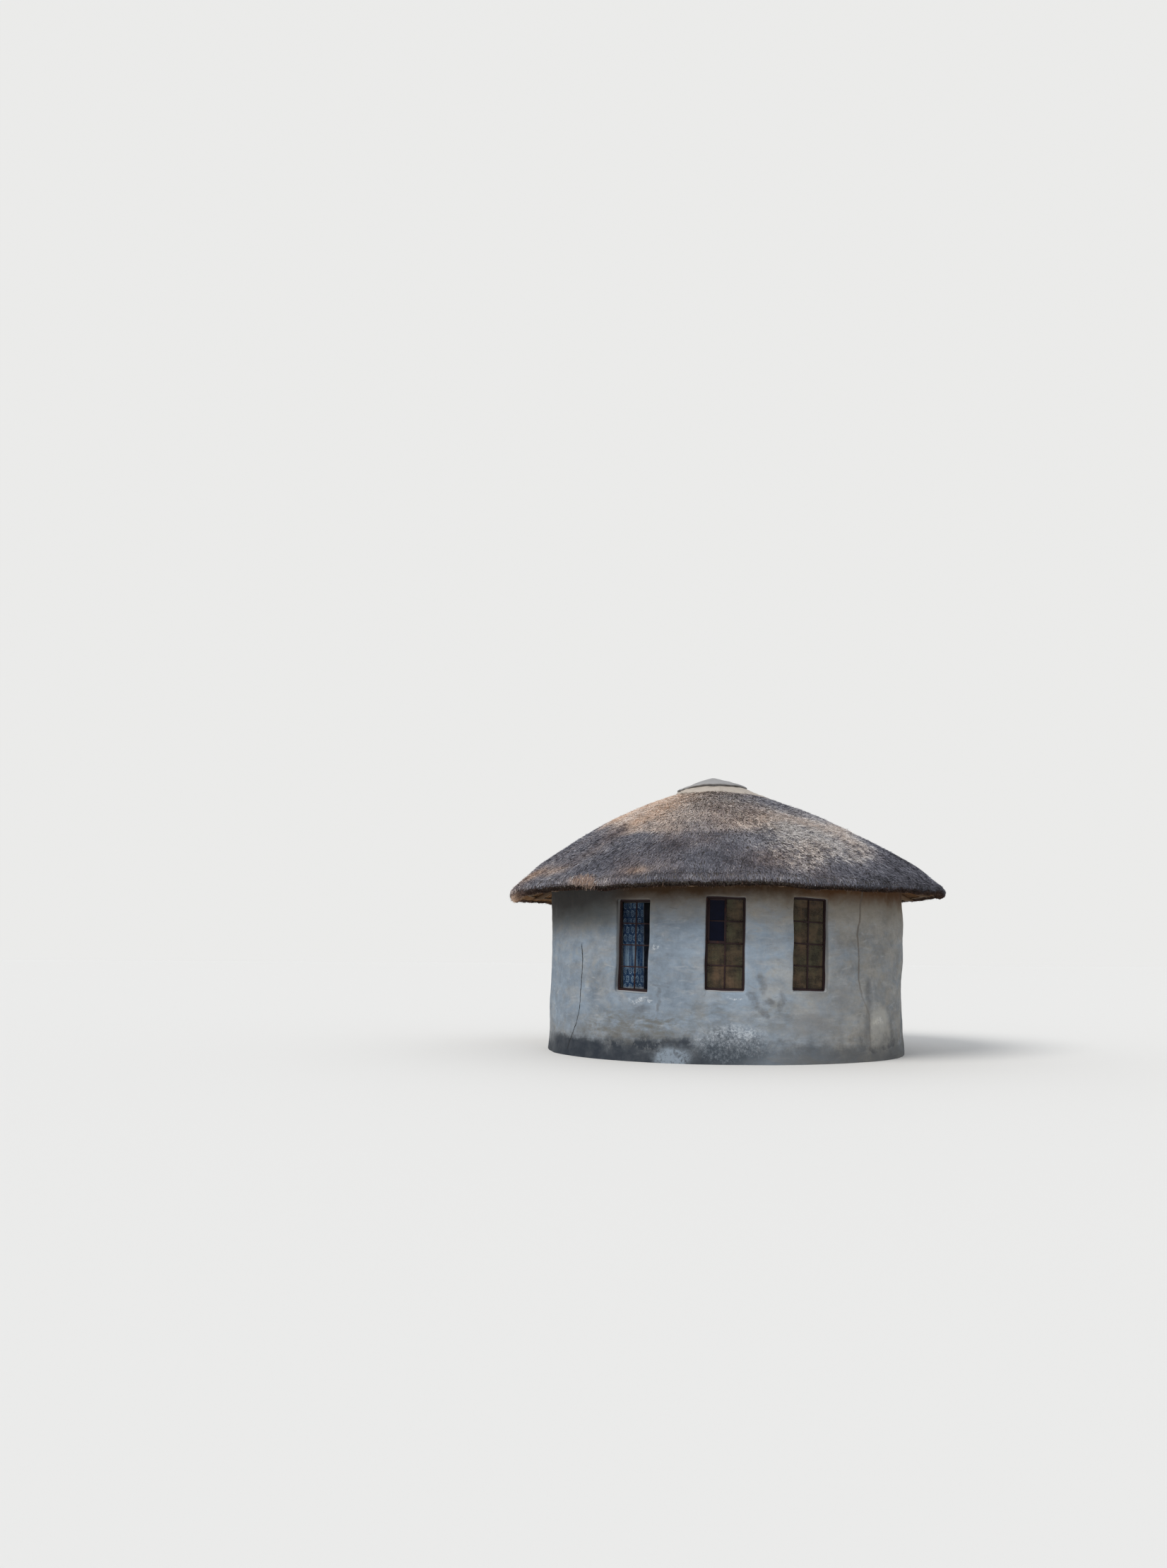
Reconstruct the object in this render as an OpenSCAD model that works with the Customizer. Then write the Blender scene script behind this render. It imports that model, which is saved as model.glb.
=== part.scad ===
// A rondavel: a round plastered hut with a convex thatched roof and a cement ridge cap.
// Millimetres. The front faces -Y, +X is to the right of someone facing it, +Z is up.
// The origin is the centre of the round wall, at the foot of its deepest footing.
// Bearings are in degrees from the front, positive towards +X.

/* [Wall] */
// Outside radius of the plastered wall
wall_r = 2660; // [2560:10:2760]
// Thickness of the wall
wall_t = 260; // [230:5:300]
// How far the foot of the wall spreads past its face
foot_spread = 14; // [8:1:30]
// Height of that spread
foot_h = 350; // [200:10:500]
// Thickness of the leaf that fills up to the thatch, outside the wall plate
leaf_t = 70; // [60:5:90]
// Top of the floor slab above the foot of the wall
floor_z = 145; // [110:5:180]

/* [Windows] */
// Width of the steel window frame
window_w = 533; // [500:1:560]
// Height of the steel window frame
window_h = 1245; // [1100:5:1260]
// Foot of the window frame
sill_z = 945; // [880:1:960]
// Face width of the frame
frame_w = 36; // [28:1:44]
// Depth of the frame through the wall
frame_d = 33; // [28:1:40]
// Depth of the rebate's back leg, behind the glass
frame_back = 12; // [8:1:16]
// How much of each edge of the glass the rebate holds
glass_lap = 8; // [5:1:12]
// Thickness of the glass
glass_t = 4; // [3:0.5:6]
// How far the frame stands back from the face of the wall
frame_recess = 95; // [70:5:120]
// Slope of the plastered sill, in degrees
sill_slope = 9; // [4:1:14]
// Sideways lean of the front left window, in degrees. The windows were set by eye.
lean_left = 1.9; // [0:0.1:2.8]
// Sideways lean of the front centre window, in degrees
lean_centre = 1.7; // [0:0.1:2.8]
// Sideways lean of the front right window, in degrees
lean_right = 2.5; // [0:0.1:2.8]
// Sideways lean of the side and back windows, in degrees
lean_hidden = 1.6; // [0:0.1:2.8]
// How far the front left window sits below the others
drop_left = 25; // [0:1:40]
// Bearing of the front left window
bearing_left = -27.7; // [-29:0.1:-27]
// Bearing of the front centre window
bearing_centre = 0.6; // [-1:0.1:1]
// Bearing of the front right window
bearing_right = 26.2; // [25:0.1:28]
// Bearing of the side window
bearing_side = 112; // [108:1:116]
// Bearing of the back window
bearing_back = 180; // [176:1:184]

/* [Door] */
// Bearing of the door
bearing_door = -118; // [-122:1:-114]
// Width of the door leaf
leaf_w = 813; // [760:1:870]
// Height of the door leaf
leaf_h = 2026; // [1960:1:2040]
// Thickness of the door's boards
board_t = 22; // [18:1:28]
// Thickness of the ledges and braces
ledge_t = 20; // [16:1:26]
// Width of the ledges
ledge_w = 140; // [110:5:170]
// Width of the braces
brace_w = 95; // [80:5:110]
// Face width of the door frame's jambs and head
jamb_w = 55; // [45:1:70]
// Depth of the door frame through the wall
jamb_d = 110; // [90:5:130]
// How far the door frame stands back from the face of the wall
door_recess = 90; // [70:5:110]
// Width of the stop that the door shuts against
stop_w = 12; // [8:1:16]
// Height of the threshold above the floor
threshold_up = 8; // [4:1:20]
// Running gap round the door leaf
door_gap = 3; // [2:0.5:5]
// How far the ledges stop short of the leaf's edges
ledge_in = 30; // [20:2:40]
// How far the braces stop short of the leaf's edges
brace_in = 60; // [50:2:80]
// Height of the door handle above the floor
handle_up = 1020; // [950:10:1100]
// How far the handle's spindle stands in from the leaf's edge
handle_in = 60; // [50:2:80]
// Width of the handle's back plate
plate_across = 44; // [36:1:50]
// Height of the handle's back plate
plate_tall = 160; // [140:5:200]
// Length of the handle's lever
lever_l = 118; // [100:2:130]
// Diameter of the handle's lever
lever_d = 15; // [12:1:18]
// Distance of the lever in front of the leaf
lever_out = 40; // [35:1:50]
// Height of the wall between the door frame and the wall plate
over_door_h = 187; // [160:1:240]

/* [Thatch] */
// How far the eave reaches past the wall
overhang = 640; // [560:10:720]
// Pitch of the thatch near the crown, in degrees
crown_pitch = 20.8; // [19:0.1:22.5]
// Extra drop at the eave, from the thatch growing steeper on its way down
eave_drop = 471; // [430:1:510]
// Radius of the eave's rounded lip
lip_round = 80; // [60:5:100]
// Direction in which the rounded lip meets the cut face, in degrees below level
lip_turn = 55; // [45:1:65]
// How far the cut face of the eave runs in under the lip
cut_in = 100; // [90:5:120]
// How far the cut face of the eave drops below the lip
cut_drop = 100; // [90:2:130]
// Thickness of the thatch over the rafters' hub
crown_t = 95; // [85:5:110]
// Sideways lean of the roof for each unit of height
roof_lean = -0.073; // [-0.1:0.001:0.02]

/* [Ridge cap] */
// Radius of the seat that the cap makes in the thatch
seat_r = 450; // [430:5:480]
// Pitch of that seat, in degrees
seat_pitch = 16.7; // [14:0.1:18]
// How far the cap's rim reaches past that seat
rim_out = 50; // [35:5:80]
// Thickness of the cap's rim
cap_edge = 25; // [15:1:35]
// Open height between the rim and the mortar skirt
rim_gap = 25; // [15:1:35]
// Thickness of the cap at its peak
cap_t = 77; // [70:1:100]
// Radius of the mortar skirt
skirt_r = 720; // [680:5:760]
// Thickness of the mortar skirt
skirt_t = 30; // [20:1:40]

/* [Roof timbers] */
// Number of main rafters, with one short rafter between each two
main_rafters_n = 8; // [7:1:9]
// Bearing of the first main rafter
rafter_bearing = 14.5; // [13.5:0.5:16]
// Diameter of the rafter poles
rafter_d = 80; // [70:2:90]
// How far short of the eave's lip the rafter poles end
tail_back = 230; // [215:5:260]
// Height of the rafters' level cut above the foot of the thatch
tail_up = 22; // [16:1:30]
// Distance from the hub's centre to its flat sides
hub_a = 120; // [116:2:130]
// Height of the hub
hub_h = 115; // [100:5:140]
// Radius of the hoop under the short rafters
hoop_r = 1000; // [900:20:1100]
// Diameter of the hoop's pole
hoop_d = 70; // [60:2:80]
// How far the short rafters run past the hoop
hoop_past = 60; // [50:5:100]
// Width of the wall plate
plate_w = 100; // [90:5:110]
// Height of the wall plate
plate_h = 75; // [65:5:90]
// Depth of the notch that seats each rafter on the wall plate
plate_notch = 10; // [6:1:16]
// Diameter of the laths
lath_d = 25; // [20:1:28]
// Distance between laths, measured level
lath_pitch = 255; // [245:5:270]
// Level distance from the leaf's inner face to the nearest lath
lath_in = 40; // [35:1:50]

/* [Curtain] */
// Share of the window's width that the curtain covers
curtain_share = 0.62; // [0.5:0.01:0.9]
// Number of folds in the curtain
curtain_folds = 7; // [5:1:9]
// Depth of the folds, from the middle to a crest
fold_d = 11; // [8:1:14]
// Thickness of the curtain with its lining
curtain_t = 4; // [3:0.5:6]
// Diameter of the curtain rail
rail_d = 12; // [10:1:16]
// Height of the rail below the head of the window
rail_down = 40; // [30:5:60]
// Distance of the rail behind the window frame
rail_in = 50; // [40:5:60]
// Height of the curtain's hem above the sill
hem_up = 20; // [10:5:60]

/* [Hidden] */

round_fn = 192;
roof_columns = 80;
pole_fn = 32;
far = 10000;

// Bedding gap between a frame and the wall, and between pieces that sit against each other
bed = 0.5;
seat = 0.3;
// Extra room between round poles and what lies on or under them, which the lean takes up
pole_gap = 1;
hoop_gap = 0.9;
// Room between the leaf's top and the thatch, and round each rafter in the leaf
leaf_gap = 6;
notch_gap = 2;
// Thickness of the handle's back plate
handle_plate_t = 3;
// Room between the flat cheeks of a rafter's notch and the curved sides of the wall plate
notch_room = 1;

// Half the turn that a rafter's notch can take up in the wall
notch_half = 3;
// How far a cutting shape reaches past the face that it cuts
past = 100;
// Bearings of the plain seams between stretches of wall, each midway between two rafters
bearing_seam_right = 48.25;
bearing_seam_far_right = 93.25;
bearing_seam_back = 205.75;
bearing_seam_far_left = -86.75;
bearing_seam_left = -64.25;

// Half the turn of the stretch of wall that each opening's bay or lintel is cut from
bay_half = 9;
door_half = 14;

inner_r = wall_r - wall_t;
leaf_r = wall_r - leaf_t;
eave_r = wall_r + overhang;
head_z = sill_z + window_h;
mid_z = sill_z + window_h / 2;

door_w = leaf_w + 2 * (door_gap + jamb_w);
door_foot = floor_z + threshold_up;
door_top = door_foot + seat + door_gap + leaf_h + door_gap + jamb_w;
stop_d = jamb_d - board_t - ledge_t - seat;
wall_top = door_top + over_door_h;
plate_top = wall_top + plate_h;
plate_r = leaf_r - bed;

// The outside of the thatch falls as a straight pitch plus a cubic that steepens it towards the eave.
function thatch_drop(r) = tan(crown_pitch) * r + eave_drop * pow(r / eave_r, 3);
eave_slope = atan(tan(crown_pitch) + 3 * eave_drop / eave_r);
lip_top_r = eave_r - lip_round + lip_round * sin(eave_slope);
lip_top_up = lip_round * cos(eave_slope);

// The underside is one straight pitch, from the foot of the cut face up to just past the hub.
hub_past = 40;
hub_clear_r = hub_a + hub_past;
soffit_r = eave_r - cut_in;
rafter_rise = cut_drop + lip_top_up + thatch_drop(lip_top_r) - thatch_drop(seat_r)
    + tan(seat_pitch) * (seat_r - hub_clear_r) - crown_t;
rafter_pitch = atan(rafter_rise / (soffit_r - hub_clear_r));

// Laths and rafters hang below that pitch, each by its own size, and the notched rafters lie on the wall plate.
lath_below = (bed + lath_d / 2) / cos(rafter_pitch);
rafter_below = (bed + lath_d + pole_gap + rafter_d / 2) / cos(rafter_pitch);
rafter_foot = rafter_below + rafter_d / 2 / cos(rafter_pitch);
soffit = [soffit_r, plate_top - plate_notch + rafter_foot - tan(rafter_pitch) * (soffit_r - plate_r)];
function under_z(r) = soffit[1] + tan(rafter_pitch) * (soffit_r - r);
function rafter_z(r) = under_z(r) - rafter_below;

lip_c = [eave_r - lip_round, soffit[1] + cut_drop];
lip_top = [lip_top_r, lip_c[1] + lip_top_up];
crown_z = lip_top[1] + thatch_drop(lip_top_r);
function slope_z(r) = crown_z - thatch_drop(r);
seat_z = slope_z(seat_r);
function thatch_z(r) = r < seat_r ? seat_z + tan(seat_pitch) * (seat_r - r) : slope_z(r);

tail_r = eave_r - tail_back;
tail_z = soffit[1] + tail_up;
rafter_step = 180 / main_rafters_n;
hoop_z = rafter_z(hoop_r) - (rafter_d / 2 + hoop_d / 2 + hoop_gap) / cos(rafter_pitch);

// The roof leans about the level of the wall plate, where it sits square on the wall.
function shift(z) = roof_lean * (z - plate_top);
function roof_point(r, bearing, z) = [r * sin(bearing) + shift(z), -r * cos(bearing), z];

// Places a shape made at the front, facing -Y, at its bearing.
module at(bearing) rotate([0, 0, bearing]) children();

function lean_of(bearing) = bearing == bearing_left ? lean_left
    : bearing == bearing_centre ? lean_centre
    : bearing == bearing_right ? lean_right : lean_hidden;
function drop_of(bearing) = bearing == bearing_left ? drop_left : 0;

// Places a shape in the same way, leans it sideways and lowers it with the window at that bearing.
module leaning_at(bearing) at(bearing)
    translate([0, 0, mid_z - drop_of(bearing)])
    rotate([0, lean_of(bearing), 0])
    translate([0, 0, -mid_z])
    children();

module ring(points) rotate_extrude($fn = round_fn) polygon(points);

// A round pole between two points, with the seam of its surface on one side, clear of its cuts
module pole(from, to, d) {
    run = to - from;
    translate(from)
        rotate([0, acos(run[2] / norm(run)), atan2(run[1], run[0])])
        rotate(90)
        cylinder(h = norm(run), d = d, $fn = pole_fn);
}

// The wall

function wall_profile() = [
    [inner_r, 0], [wall_r + foot_spread, 0], [wall_r, foot_h], [wall_r, under_z(wall_r) - leaf_gap],
    [leaf_r, under_z(leaf_r) - leaf_gap], [leaf_r, wall_top], [inner_r, wall_top],
];

// A stretch of the wall's ring between two bearings, notched for the rafters that cross it
module wall_sector(from, to) difference() {
    rotate([0, 0, from - 90])
        rotate_extrude(angle = to - from, $fn = round_fn)
        polygon(wall_profile());
    for (i = [0 : 2 * main_rafters_n - 1]) {
        bearing = rafter_bearing + i * rafter_step;
        turn = bearing - from - 360 * floor((bearing - from + notch_half) / 360);
        if (turn < to - from + notch_half) rafter_pole(bearing, hoop_r, rafter_d + 2 * notch_gap);
    }
}

// A block through the wall at the front, to cut or keep an opening's width
module slot(w, low = -past, high = far) translate([-w / 2 - bed, -wall_r - past, low])
    cube([w + 2 * bed, wall_t + 2 * past, high - low]);

module window_slot(bearing) leaning_at(bearing) slot(window_w);
module door_slot() at(bearing_door) slot(door_w);

// A pier runs from one bearing to another, less the slots at its ends.
module pier(from, to) color("#8d8b84") difference() {
    wall_sector(from, to);
    children();
}

// The wall below and above a window, between its two piers
module bay(bearing) color("#908e87") difference() {
    intersection() {
        wall_sector(bearing - bay_half, bearing + bay_half);
        leaning_at(bearing) slot(window_w - 2 * seat);
    }
    leaning_at(bearing) {
        slot(window_w + 4 * bed, sill_z - bed, head_z + bed);
        rotate([90, 0, 90]) linear_extrude(window_w + past, center = true) polygon([
            [frame_recess - wall_r, sill_z],
            [frame_recess - wall_r, sill_z - bed],
            [-wall_r - past, sill_z - bed - tan(sill_slope) * (frame_recess + past)],
            [-wall_r - past, sill_z],
        ]);
    }
}

module over_door() color("#908e87") intersection() {
    wall_sector(bearing_door - door_half, bearing_door + door_half);
    at(bearing_door) slot(door_w - 2 * seat, door_top + bed);
}

module floor_slab() color("#7d7872") cylinder(r = inner_r - bed, h = floor_z, $fn = round_fn);

// The windows

module window_frame(bearing) color("#3b2723") leaning_at(bearing)
    translate([0, frame_recess - wall_r, sill_z]) difference() {
        translate([-window_w / 2, 0, 0]) cube([window_w, frame_d, window_h]);
        translate([frame_w - window_w / 2, -1, frame_w])
            cube([window_w - 2 * frame_w, frame_d + 2, window_h - 2 * frame_w]);
        translate([frame_w - glass_lap - window_w / 2, -1, frame_w - glass_lap])
            cube([
                window_w - 2 * (frame_w - glass_lap),
                frame_d - frame_back + 1,
                window_h - 2 * (frame_w - glass_lap),
            ]);
    }

module window_glass(bearing) color("#6f8288", 0.5) leaning_at(bearing)
    translate([
        frame_w - glass_lap + bed - window_w / 2,
        frame_recess - wall_r + frame_d - frame_back - seat - glass_t,
        sill_z + frame_w - glass_lap + bed,
    ])
    cube([
        window_w - 2 * (frame_w - glass_lap + bed),
        glass_t,
        window_h - 2 * (frame_w - glass_lap + bed),
    ]);

rail_y = frame_recess + frame_d + rail_in - wall_r;
rail_z = head_z - rail_down;
// The rail is level and the curtain plumb, so they start where the leaning window is at the rail's height.
rail_x = tan(lean_left) * (rail_z - mid_z) - window_w / 2;

module curtain_rail() color("#8a8a86") at(bearing_left)
    translate([rail_x, rail_y, rail_z - drop_left])
    rotate([0, 90, 0])
    cylinder(d = rail_d, h = window_w, $fn = pole_fn);

// The curtain hangs in even folds, so its plan is a sine wave with a thickness.
module lace_curtain() {
    w = curtain_share * window_w;
    steps = 8 * curtain_folds;
    function wave(i) = fold_d * sin(360 * curtain_folds * i / steps);
    front = [for (i = [0 : steps]) [i * w / steps, wave(i)]];
    back = [for (i = [steps : -1 : 0]) [i * w / steps, wave(i) + curtain_t]];
    color("#8fa0b4") at(bearing_left)
        translate([rail_x + bed + seat, rail_y - curtain_t / 2, sill_z + hem_up - drop_left])
        linear_extrude(rail_z - rail_d / 2 - seat - sill_z - hem_up)
        polygon(concat(front, back));
}

// The door

module door_threshold() color("#86827b") difference() {
    intersection() {
        rotate([0, 0, bearing_door - door_half - 90])
            rotate_extrude(angle = 2 * door_half, $fn = round_fn)
            polygon([for (p = wall_profile()) [p[0], min(p[1], foot_h)]]);
        at(bearing_door) slot(door_w - 2 * seat, -past, door_foot);
    }
    at(bearing_door) rotate([90, 0, 90]) linear_extrude(door_w + past, center = true) polygon([
        [door_recess - wall_r, door_foot + past],
        [door_recess - wall_r, door_foot],
        [-wall_r - past, door_foot - tan(sill_slope) * (door_recess + past)],
        [-wall_r - past, door_foot + past],
    ]);
}

module door_frame() color("#4a372b") at(bearing_door)
    translate([0, door_recess - wall_r, door_foot + seat]) difference() {
        h = door_top - door_foot - seat;
        translate([-door_w / 2, 0, 0]) cube([door_w, jamb_d, h]);
        translate([jamb_w + stop_w - door_w / 2, -1, -1])
            cube([door_w - 2 * (jamb_w + stop_w), jamb_d + 2, h - jamb_w - stop_w + 1]);
        translate([jamb_w - door_w / 2, stop_d, -1])
            cube([door_w - 2 * jamb_w, jamb_d, h - jamb_w + 1]);
    }

leaf_y = door_recess - wall_r + stop_d + seat;
leaf_z = door_foot + seat + door_gap;

module door_leaf() color("#5b4636") at(bearing_door) translate([-leaf_w / 2, leaf_y, leaf_z]) {
    cube([leaf_w, board_t, leaf_h]);
    spaces = (leaf_h - 3 * ledge_w) / 3;
    // Ledges, with half a space below the lowest and above the highest
    for (i = [0 : 2])
        translate([ledge_in, board_t, spaces / 2 + i * (ledge_w + spaces)])
        cube([leaf_w - 2 * ledge_in, ledge_t, ledge_w]);
    // Braces, each rising from the hinge side between two ledges
    for (i = [0 : 1])
        translate([0, board_t + ledge_t, spaces / 2 + ledge_w + i * (ledge_w + spaces)])
        rotate([90, 0, 0])
        linear_extrude(ledge_t)
        polygon([
            [brace_in, 0], [brace_in + brace_w, 0],
            [leaf_w - brace_in, spaces], [leaf_w - brace_in - brace_w, spaces],
        ]);
}

// A back plate, a spindle that is a little thicker than the lever, and the lever
module door_handle() color("#6e6a64") at(bearing_door)
    translate([leaf_w / 2 - handle_in, leaf_y - seat, floor_z + handle_up]) {
        spindle_d = lever_d + 1;
        translate([-plate_across / 2, -handle_plate_t, -plate_tall / 2])
            cube([plate_across, handle_plate_t, plate_tall]);
        rotate([90, 0, 0]) cylinder(d = spindle_d, h = lever_out + spindle_d / 2, $fn = pole_fn);
        translate([spindle_d / 2, -lever_out, 0])
            rotate([0, -90, 0])
            cylinder(d = lever_d, h = lever_l, $fn = pole_fn);
    }

// The roof timbers

module wall_plate() color("#7a6146") ring([
    [plate_r - plate_w, wall_top + seat], [plate_r, wall_top + seat],
    [plate_r, plate_top], [plate_r - plate_w, plate_top],
]);

module rafter_pole(bearing, top_r, d) pole(
    roof_point(tail_r, bearing, rafter_z(tail_r)),
    roof_point(top_r, bearing, rafter_z(top_r)),
    d
);

// The poles are notched over the wall plate and cut plumb at the hub, and their tails are cut level,
// so that they stay hidden behind the edge of the thatch.
module rafters(first, top_r) color("#80664a") difference() {
    for (i = [first : 2 : 2 * main_rafters_n - 1]) {
        bearing = rafter_bearing + i * rafter_step;
        difference() {
            rafter_pole(bearing, top_r, rafter_d);
            at(bearing) translate([-rafter_d, -plate_r - notch_room, wall_top])
                cube([2 * rafter_d, plate_w + 2 * notch_room, plate_h + seat]);
        }
    }
    translate([-far / 2, -far / 2, tail_z - far]) cube([far, far, far]);
    hub_prism(hub_a + seat, -far, far);
}

// A prism with one flat side for each main rafter
module hub_prism(a, low, high)
    translate([shift(rafter_z(hub_a)), 0, low])
    rotate([0, 0, rafter_bearing - 90 + rafter_step])
    cylinder(r = a / cos(rafter_step), h = high - low, $fn = main_rafters_n);

module roof_hub() color("#6d563d")
    hub_prism(hub_a, under_z(hub_clear_r) - seat - hub_h, under_z(hub_clear_r) - seat);

module rafter_hoop() color("#755c41") translate([shift(hoop_z), 0, hoop_z])
    rotate_extrude($fn = round_fn) translate([hoop_r, 0]) circle(d = hoop_d, $fn = pole_fn);

lath_from = leaf_r - lath_in;
module laths() color("#8b7454")
    for (r = [lath_from + 2 * lath_pitch : -lath_pitch : hub_a + lath_pitch]) {
        z = under_z(r) - lath_below;
        translate([shift(z), 0, z])
            rotate_extrude($fn = round_fn) translate([r, 0]) circle(d = lath_d, $fn = 16);
    }

// The thatch and the ridge cap

// Skins rings of points, ordered from the crown out and down. An open run of rings gets flat ends;
// a closed one joins its last ring to its first.
module skin(rings, closed = false) {
    n = len(rings[0]);
    m = len(rings);
    polyhedron(
        points = [for (ring = rings) for (p = ring) p],
        faces = [
            for (i = [0 : m - (closed ? 1 : 2)], j = [0 : n - 1])
                [i * n + j, i * n + (j + 1) % n, ((i + 1) % m) * n + (j + 1) % n, ((i + 1) % m) * n + j],
            if (!closed) [for (j = [n - 1 : -1 : 0]) j],
            if (!closed) [for (j = [0 : n - 1]) (m - 1) * n + j],
        ]
    );
}

bearings = [for (j = [0 : roof_columns - 1]) 360 * j / roof_columns];

// A solid of the roof: each point [r, z] of its outline goes round the leaning axis.
module roof_solid(outline) skin([
    for (p = outline) [for (b = bearings) roof_point(p[0], b, p[1])]
]);

tip_r = 20;

// The outside of the thatch: its seat under the cap, its slope and its rounded lip
function slope_points() = [
    [tip_r, thatch_z(tip_r)],
    for (i = [0 : 12]) let (r = seat_r + (lip_top[0] - seat_r) * i / 12) [r, slope_z(r)],
];

function lip_points() = [
    for (a = [75 - eave_slope : -15 : 15 - lip_turn]) lip_c + lip_round * [cos(a), sin(a)],
    lip_c + lip_round * [cos(lip_turn), -sin(lip_turn)],
];

module thatch() color("#6c6257")
    roof_solid(concat(slope_points(), lip_points(), [soffit, [hub_clear_r, under_z(hub_clear_r)]]));

// Height of the thatch over a point of the plan, found by a few turns round the leaning axis
function over(x, y, z = seat_z, turns = 4) =
    turns == 0 ? z : over(x, y, thatch_z(norm([x - shift(z), y])), turns - 1);

// A ring of the mortar skirt, part of the way from the cap's neck out to the skirt's edge, which is
// centred on the wall and not on the leaning roof
function skirt_ring(part, up) = [
    for (b = bearings)
        let (
            inner = roof_point(seat_r + seat, b, seat_z),
            outer = skirt_r * [sin(b), -cos(b)],
            x = inner[0] + part * (outer[0] - inner[0]),
            y = inner[1] + part * (outer[1] - inner[1])
        )
        [x, y, over(x, y) + up]
];

module ridge_skirt() color("#b3aca1") skin(
    [
        for (part = [0 : 0.5 : 1]) skirt_ring(part, skirt_t),
        for (part = [1 : -0.5 : 0]) skirt_ring(part, seat),
    ],
    closed = true
);

cap_r = seat_r + rim_out;
rim_z = slope_z(cap_r) + skirt_t + rim_gap;

module ridge_cap() color("#a5a29f") roof_solid([
    [tip_r, thatch_z(0) + cap_t],
    [cap_r, rim_z + cap_edge],
    [cap_r, rim_z],
    [seat_r, seat_z + skirt_t + rim_gap],
    [seat_r, seat_z + seat],
    [tip_r, thatch_z(tip_r) + seat],
]);

floor_slab();
pier(bearing_left, bearing_centre) {  // wall_front_left_pier
    window_slot(bearing_left);
    window_slot(bearing_centre);
}
pier(bearing_centre, bearing_right) {  // wall_front_right_pier
    window_slot(bearing_centre);
    window_slot(bearing_right);
}
pier(bearing_right, bearing_seam_right)  // wall_right_front
    window_slot(bearing_right);
pier(bearing_seam_right, bearing_seam_far_right);  // wall_right_middle
pier(bearing_seam_far_right, bearing_side)  // wall_right_rear
    window_slot(bearing_side);
pier(bearing_side, bearing_back) {  // wall_back_right
    window_slot(bearing_side);
    window_slot(bearing_back);
}
pier(bearing_back, bearing_seam_back)  // wall_back_left
    window_slot(bearing_back);
pier(bearing_seam_back, bearing_door + 360)  // wall_left_rear
    door_slot();
pier(bearing_door, bearing_seam_far_left)  // wall_left_back
    door_slot();
pier(bearing_seam_far_left, bearing_seam_left);  // wall_left_middle
pier(bearing_seam_left, bearing_left)  // wall_left_front
    window_slot(bearing_left);
bay(bearing_left);  // wall_bay_left
bay(bearing_centre);  // wall_bay_centre
bay(bearing_right);  // wall_bay_right
bay(bearing_side);  // wall_bay_side
bay(bearing_back);  // wall_bay_back
over_door();  // wall_over_door
door_threshold();
door_frame();
door_leaf();
door_handle();
window_frame(bearing_left);  // window_frame_left
window_frame(bearing_centre);  // window_frame_centre
window_frame(bearing_right);  // window_frame_right
window_frame(bearing_side);  // window_frame_side
window_frame(bearing_back);  // window_frame_back
window_glass(bearing_left);  // window_glass_left
window_glass(bearing_centre);  // window_glass_centre
window_glass(bearing_right);  // window_glass_right
window_glass(bearing_side);  // window_glass_side
window_glass(bearing_back);  // window_glass_back
curtain_rail();
lace_curtain();
wall_plate();
rafters(0, hub_a / 2);  // main_rafters
rafters(1, hoop_r - hoop_past);  // short_rafters
rafter_hoop();
roof_hub();
laths();
thatch();
ridge_skirt();
ridge_cap();
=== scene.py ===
"""Looks of the rondavel hut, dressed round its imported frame.

Metres. The front faces -Y, +X is to the right and +Z is up. Bearings are angles from the front, positive
towards +X, so a point at radius r and bearing b is (r sin b, -r cos b).
"""

import math
from collections import namedtuple

import bmesh
import bpy
import numpy as np
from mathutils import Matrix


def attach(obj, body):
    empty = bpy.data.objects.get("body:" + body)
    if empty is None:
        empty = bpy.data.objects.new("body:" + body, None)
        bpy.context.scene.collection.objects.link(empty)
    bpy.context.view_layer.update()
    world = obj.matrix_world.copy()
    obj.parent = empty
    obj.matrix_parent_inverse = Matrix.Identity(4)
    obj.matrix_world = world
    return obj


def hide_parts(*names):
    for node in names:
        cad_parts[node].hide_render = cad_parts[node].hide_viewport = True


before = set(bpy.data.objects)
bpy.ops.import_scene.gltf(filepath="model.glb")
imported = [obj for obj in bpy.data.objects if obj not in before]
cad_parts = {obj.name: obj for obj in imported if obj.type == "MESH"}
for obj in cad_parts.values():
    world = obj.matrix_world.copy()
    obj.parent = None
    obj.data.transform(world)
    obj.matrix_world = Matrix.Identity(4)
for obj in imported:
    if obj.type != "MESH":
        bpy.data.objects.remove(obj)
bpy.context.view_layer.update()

# Wall

WALL_R = 2.660
INNER_R = 2.400
OUTER_TOP = 2.566
INNER_TOP = 2.425
INNER_FOOT = 0.100
FOOT_SPREAD = 0.014
FOOT_H = 0.350

# Windows and door

WINDOW_W = 0.533
SILL_Z = 0.945
HEAD_Z = 2.190
MID_Z = (SILL_Z + HEAD_Z) / 2
DROP_LEFT = 0.025
FRAME_W = 0.036
FRAME_FRONT = 2.565
FRAME_BACK = 2.532
GLASS_FRONT = 2.5483
SILL_SLOPE = math.radians(9)
# Each window's bearing and sideways lean
WINDOW_SET = {
    "left": (-27.7, 1.9), "centre": (0.6, 1.7), "right": (26.2, 2.5), "side": (112, 1.6), "back": (180, 1.6),
}
CURTAIN_SHARE = 0.62
CURTAIN_FOLDS = 7
DOOR_BEARING = math.radians(-118)
DOOR_W = 0.929
DOOR_FOOT = 0.153
DOOR_TOP = 2.2403
DOOR_FRONT = 2.570
DOOR_BACK = 2.460
LEAF_W = 0.813
LEAF_FOOT = 0.1563
LEAF_H = 2.026
LEAF_FACE = 2.502
BOARDS = 7
BOARD_T = 0.022
LEDGE_W = 0.140
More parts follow.
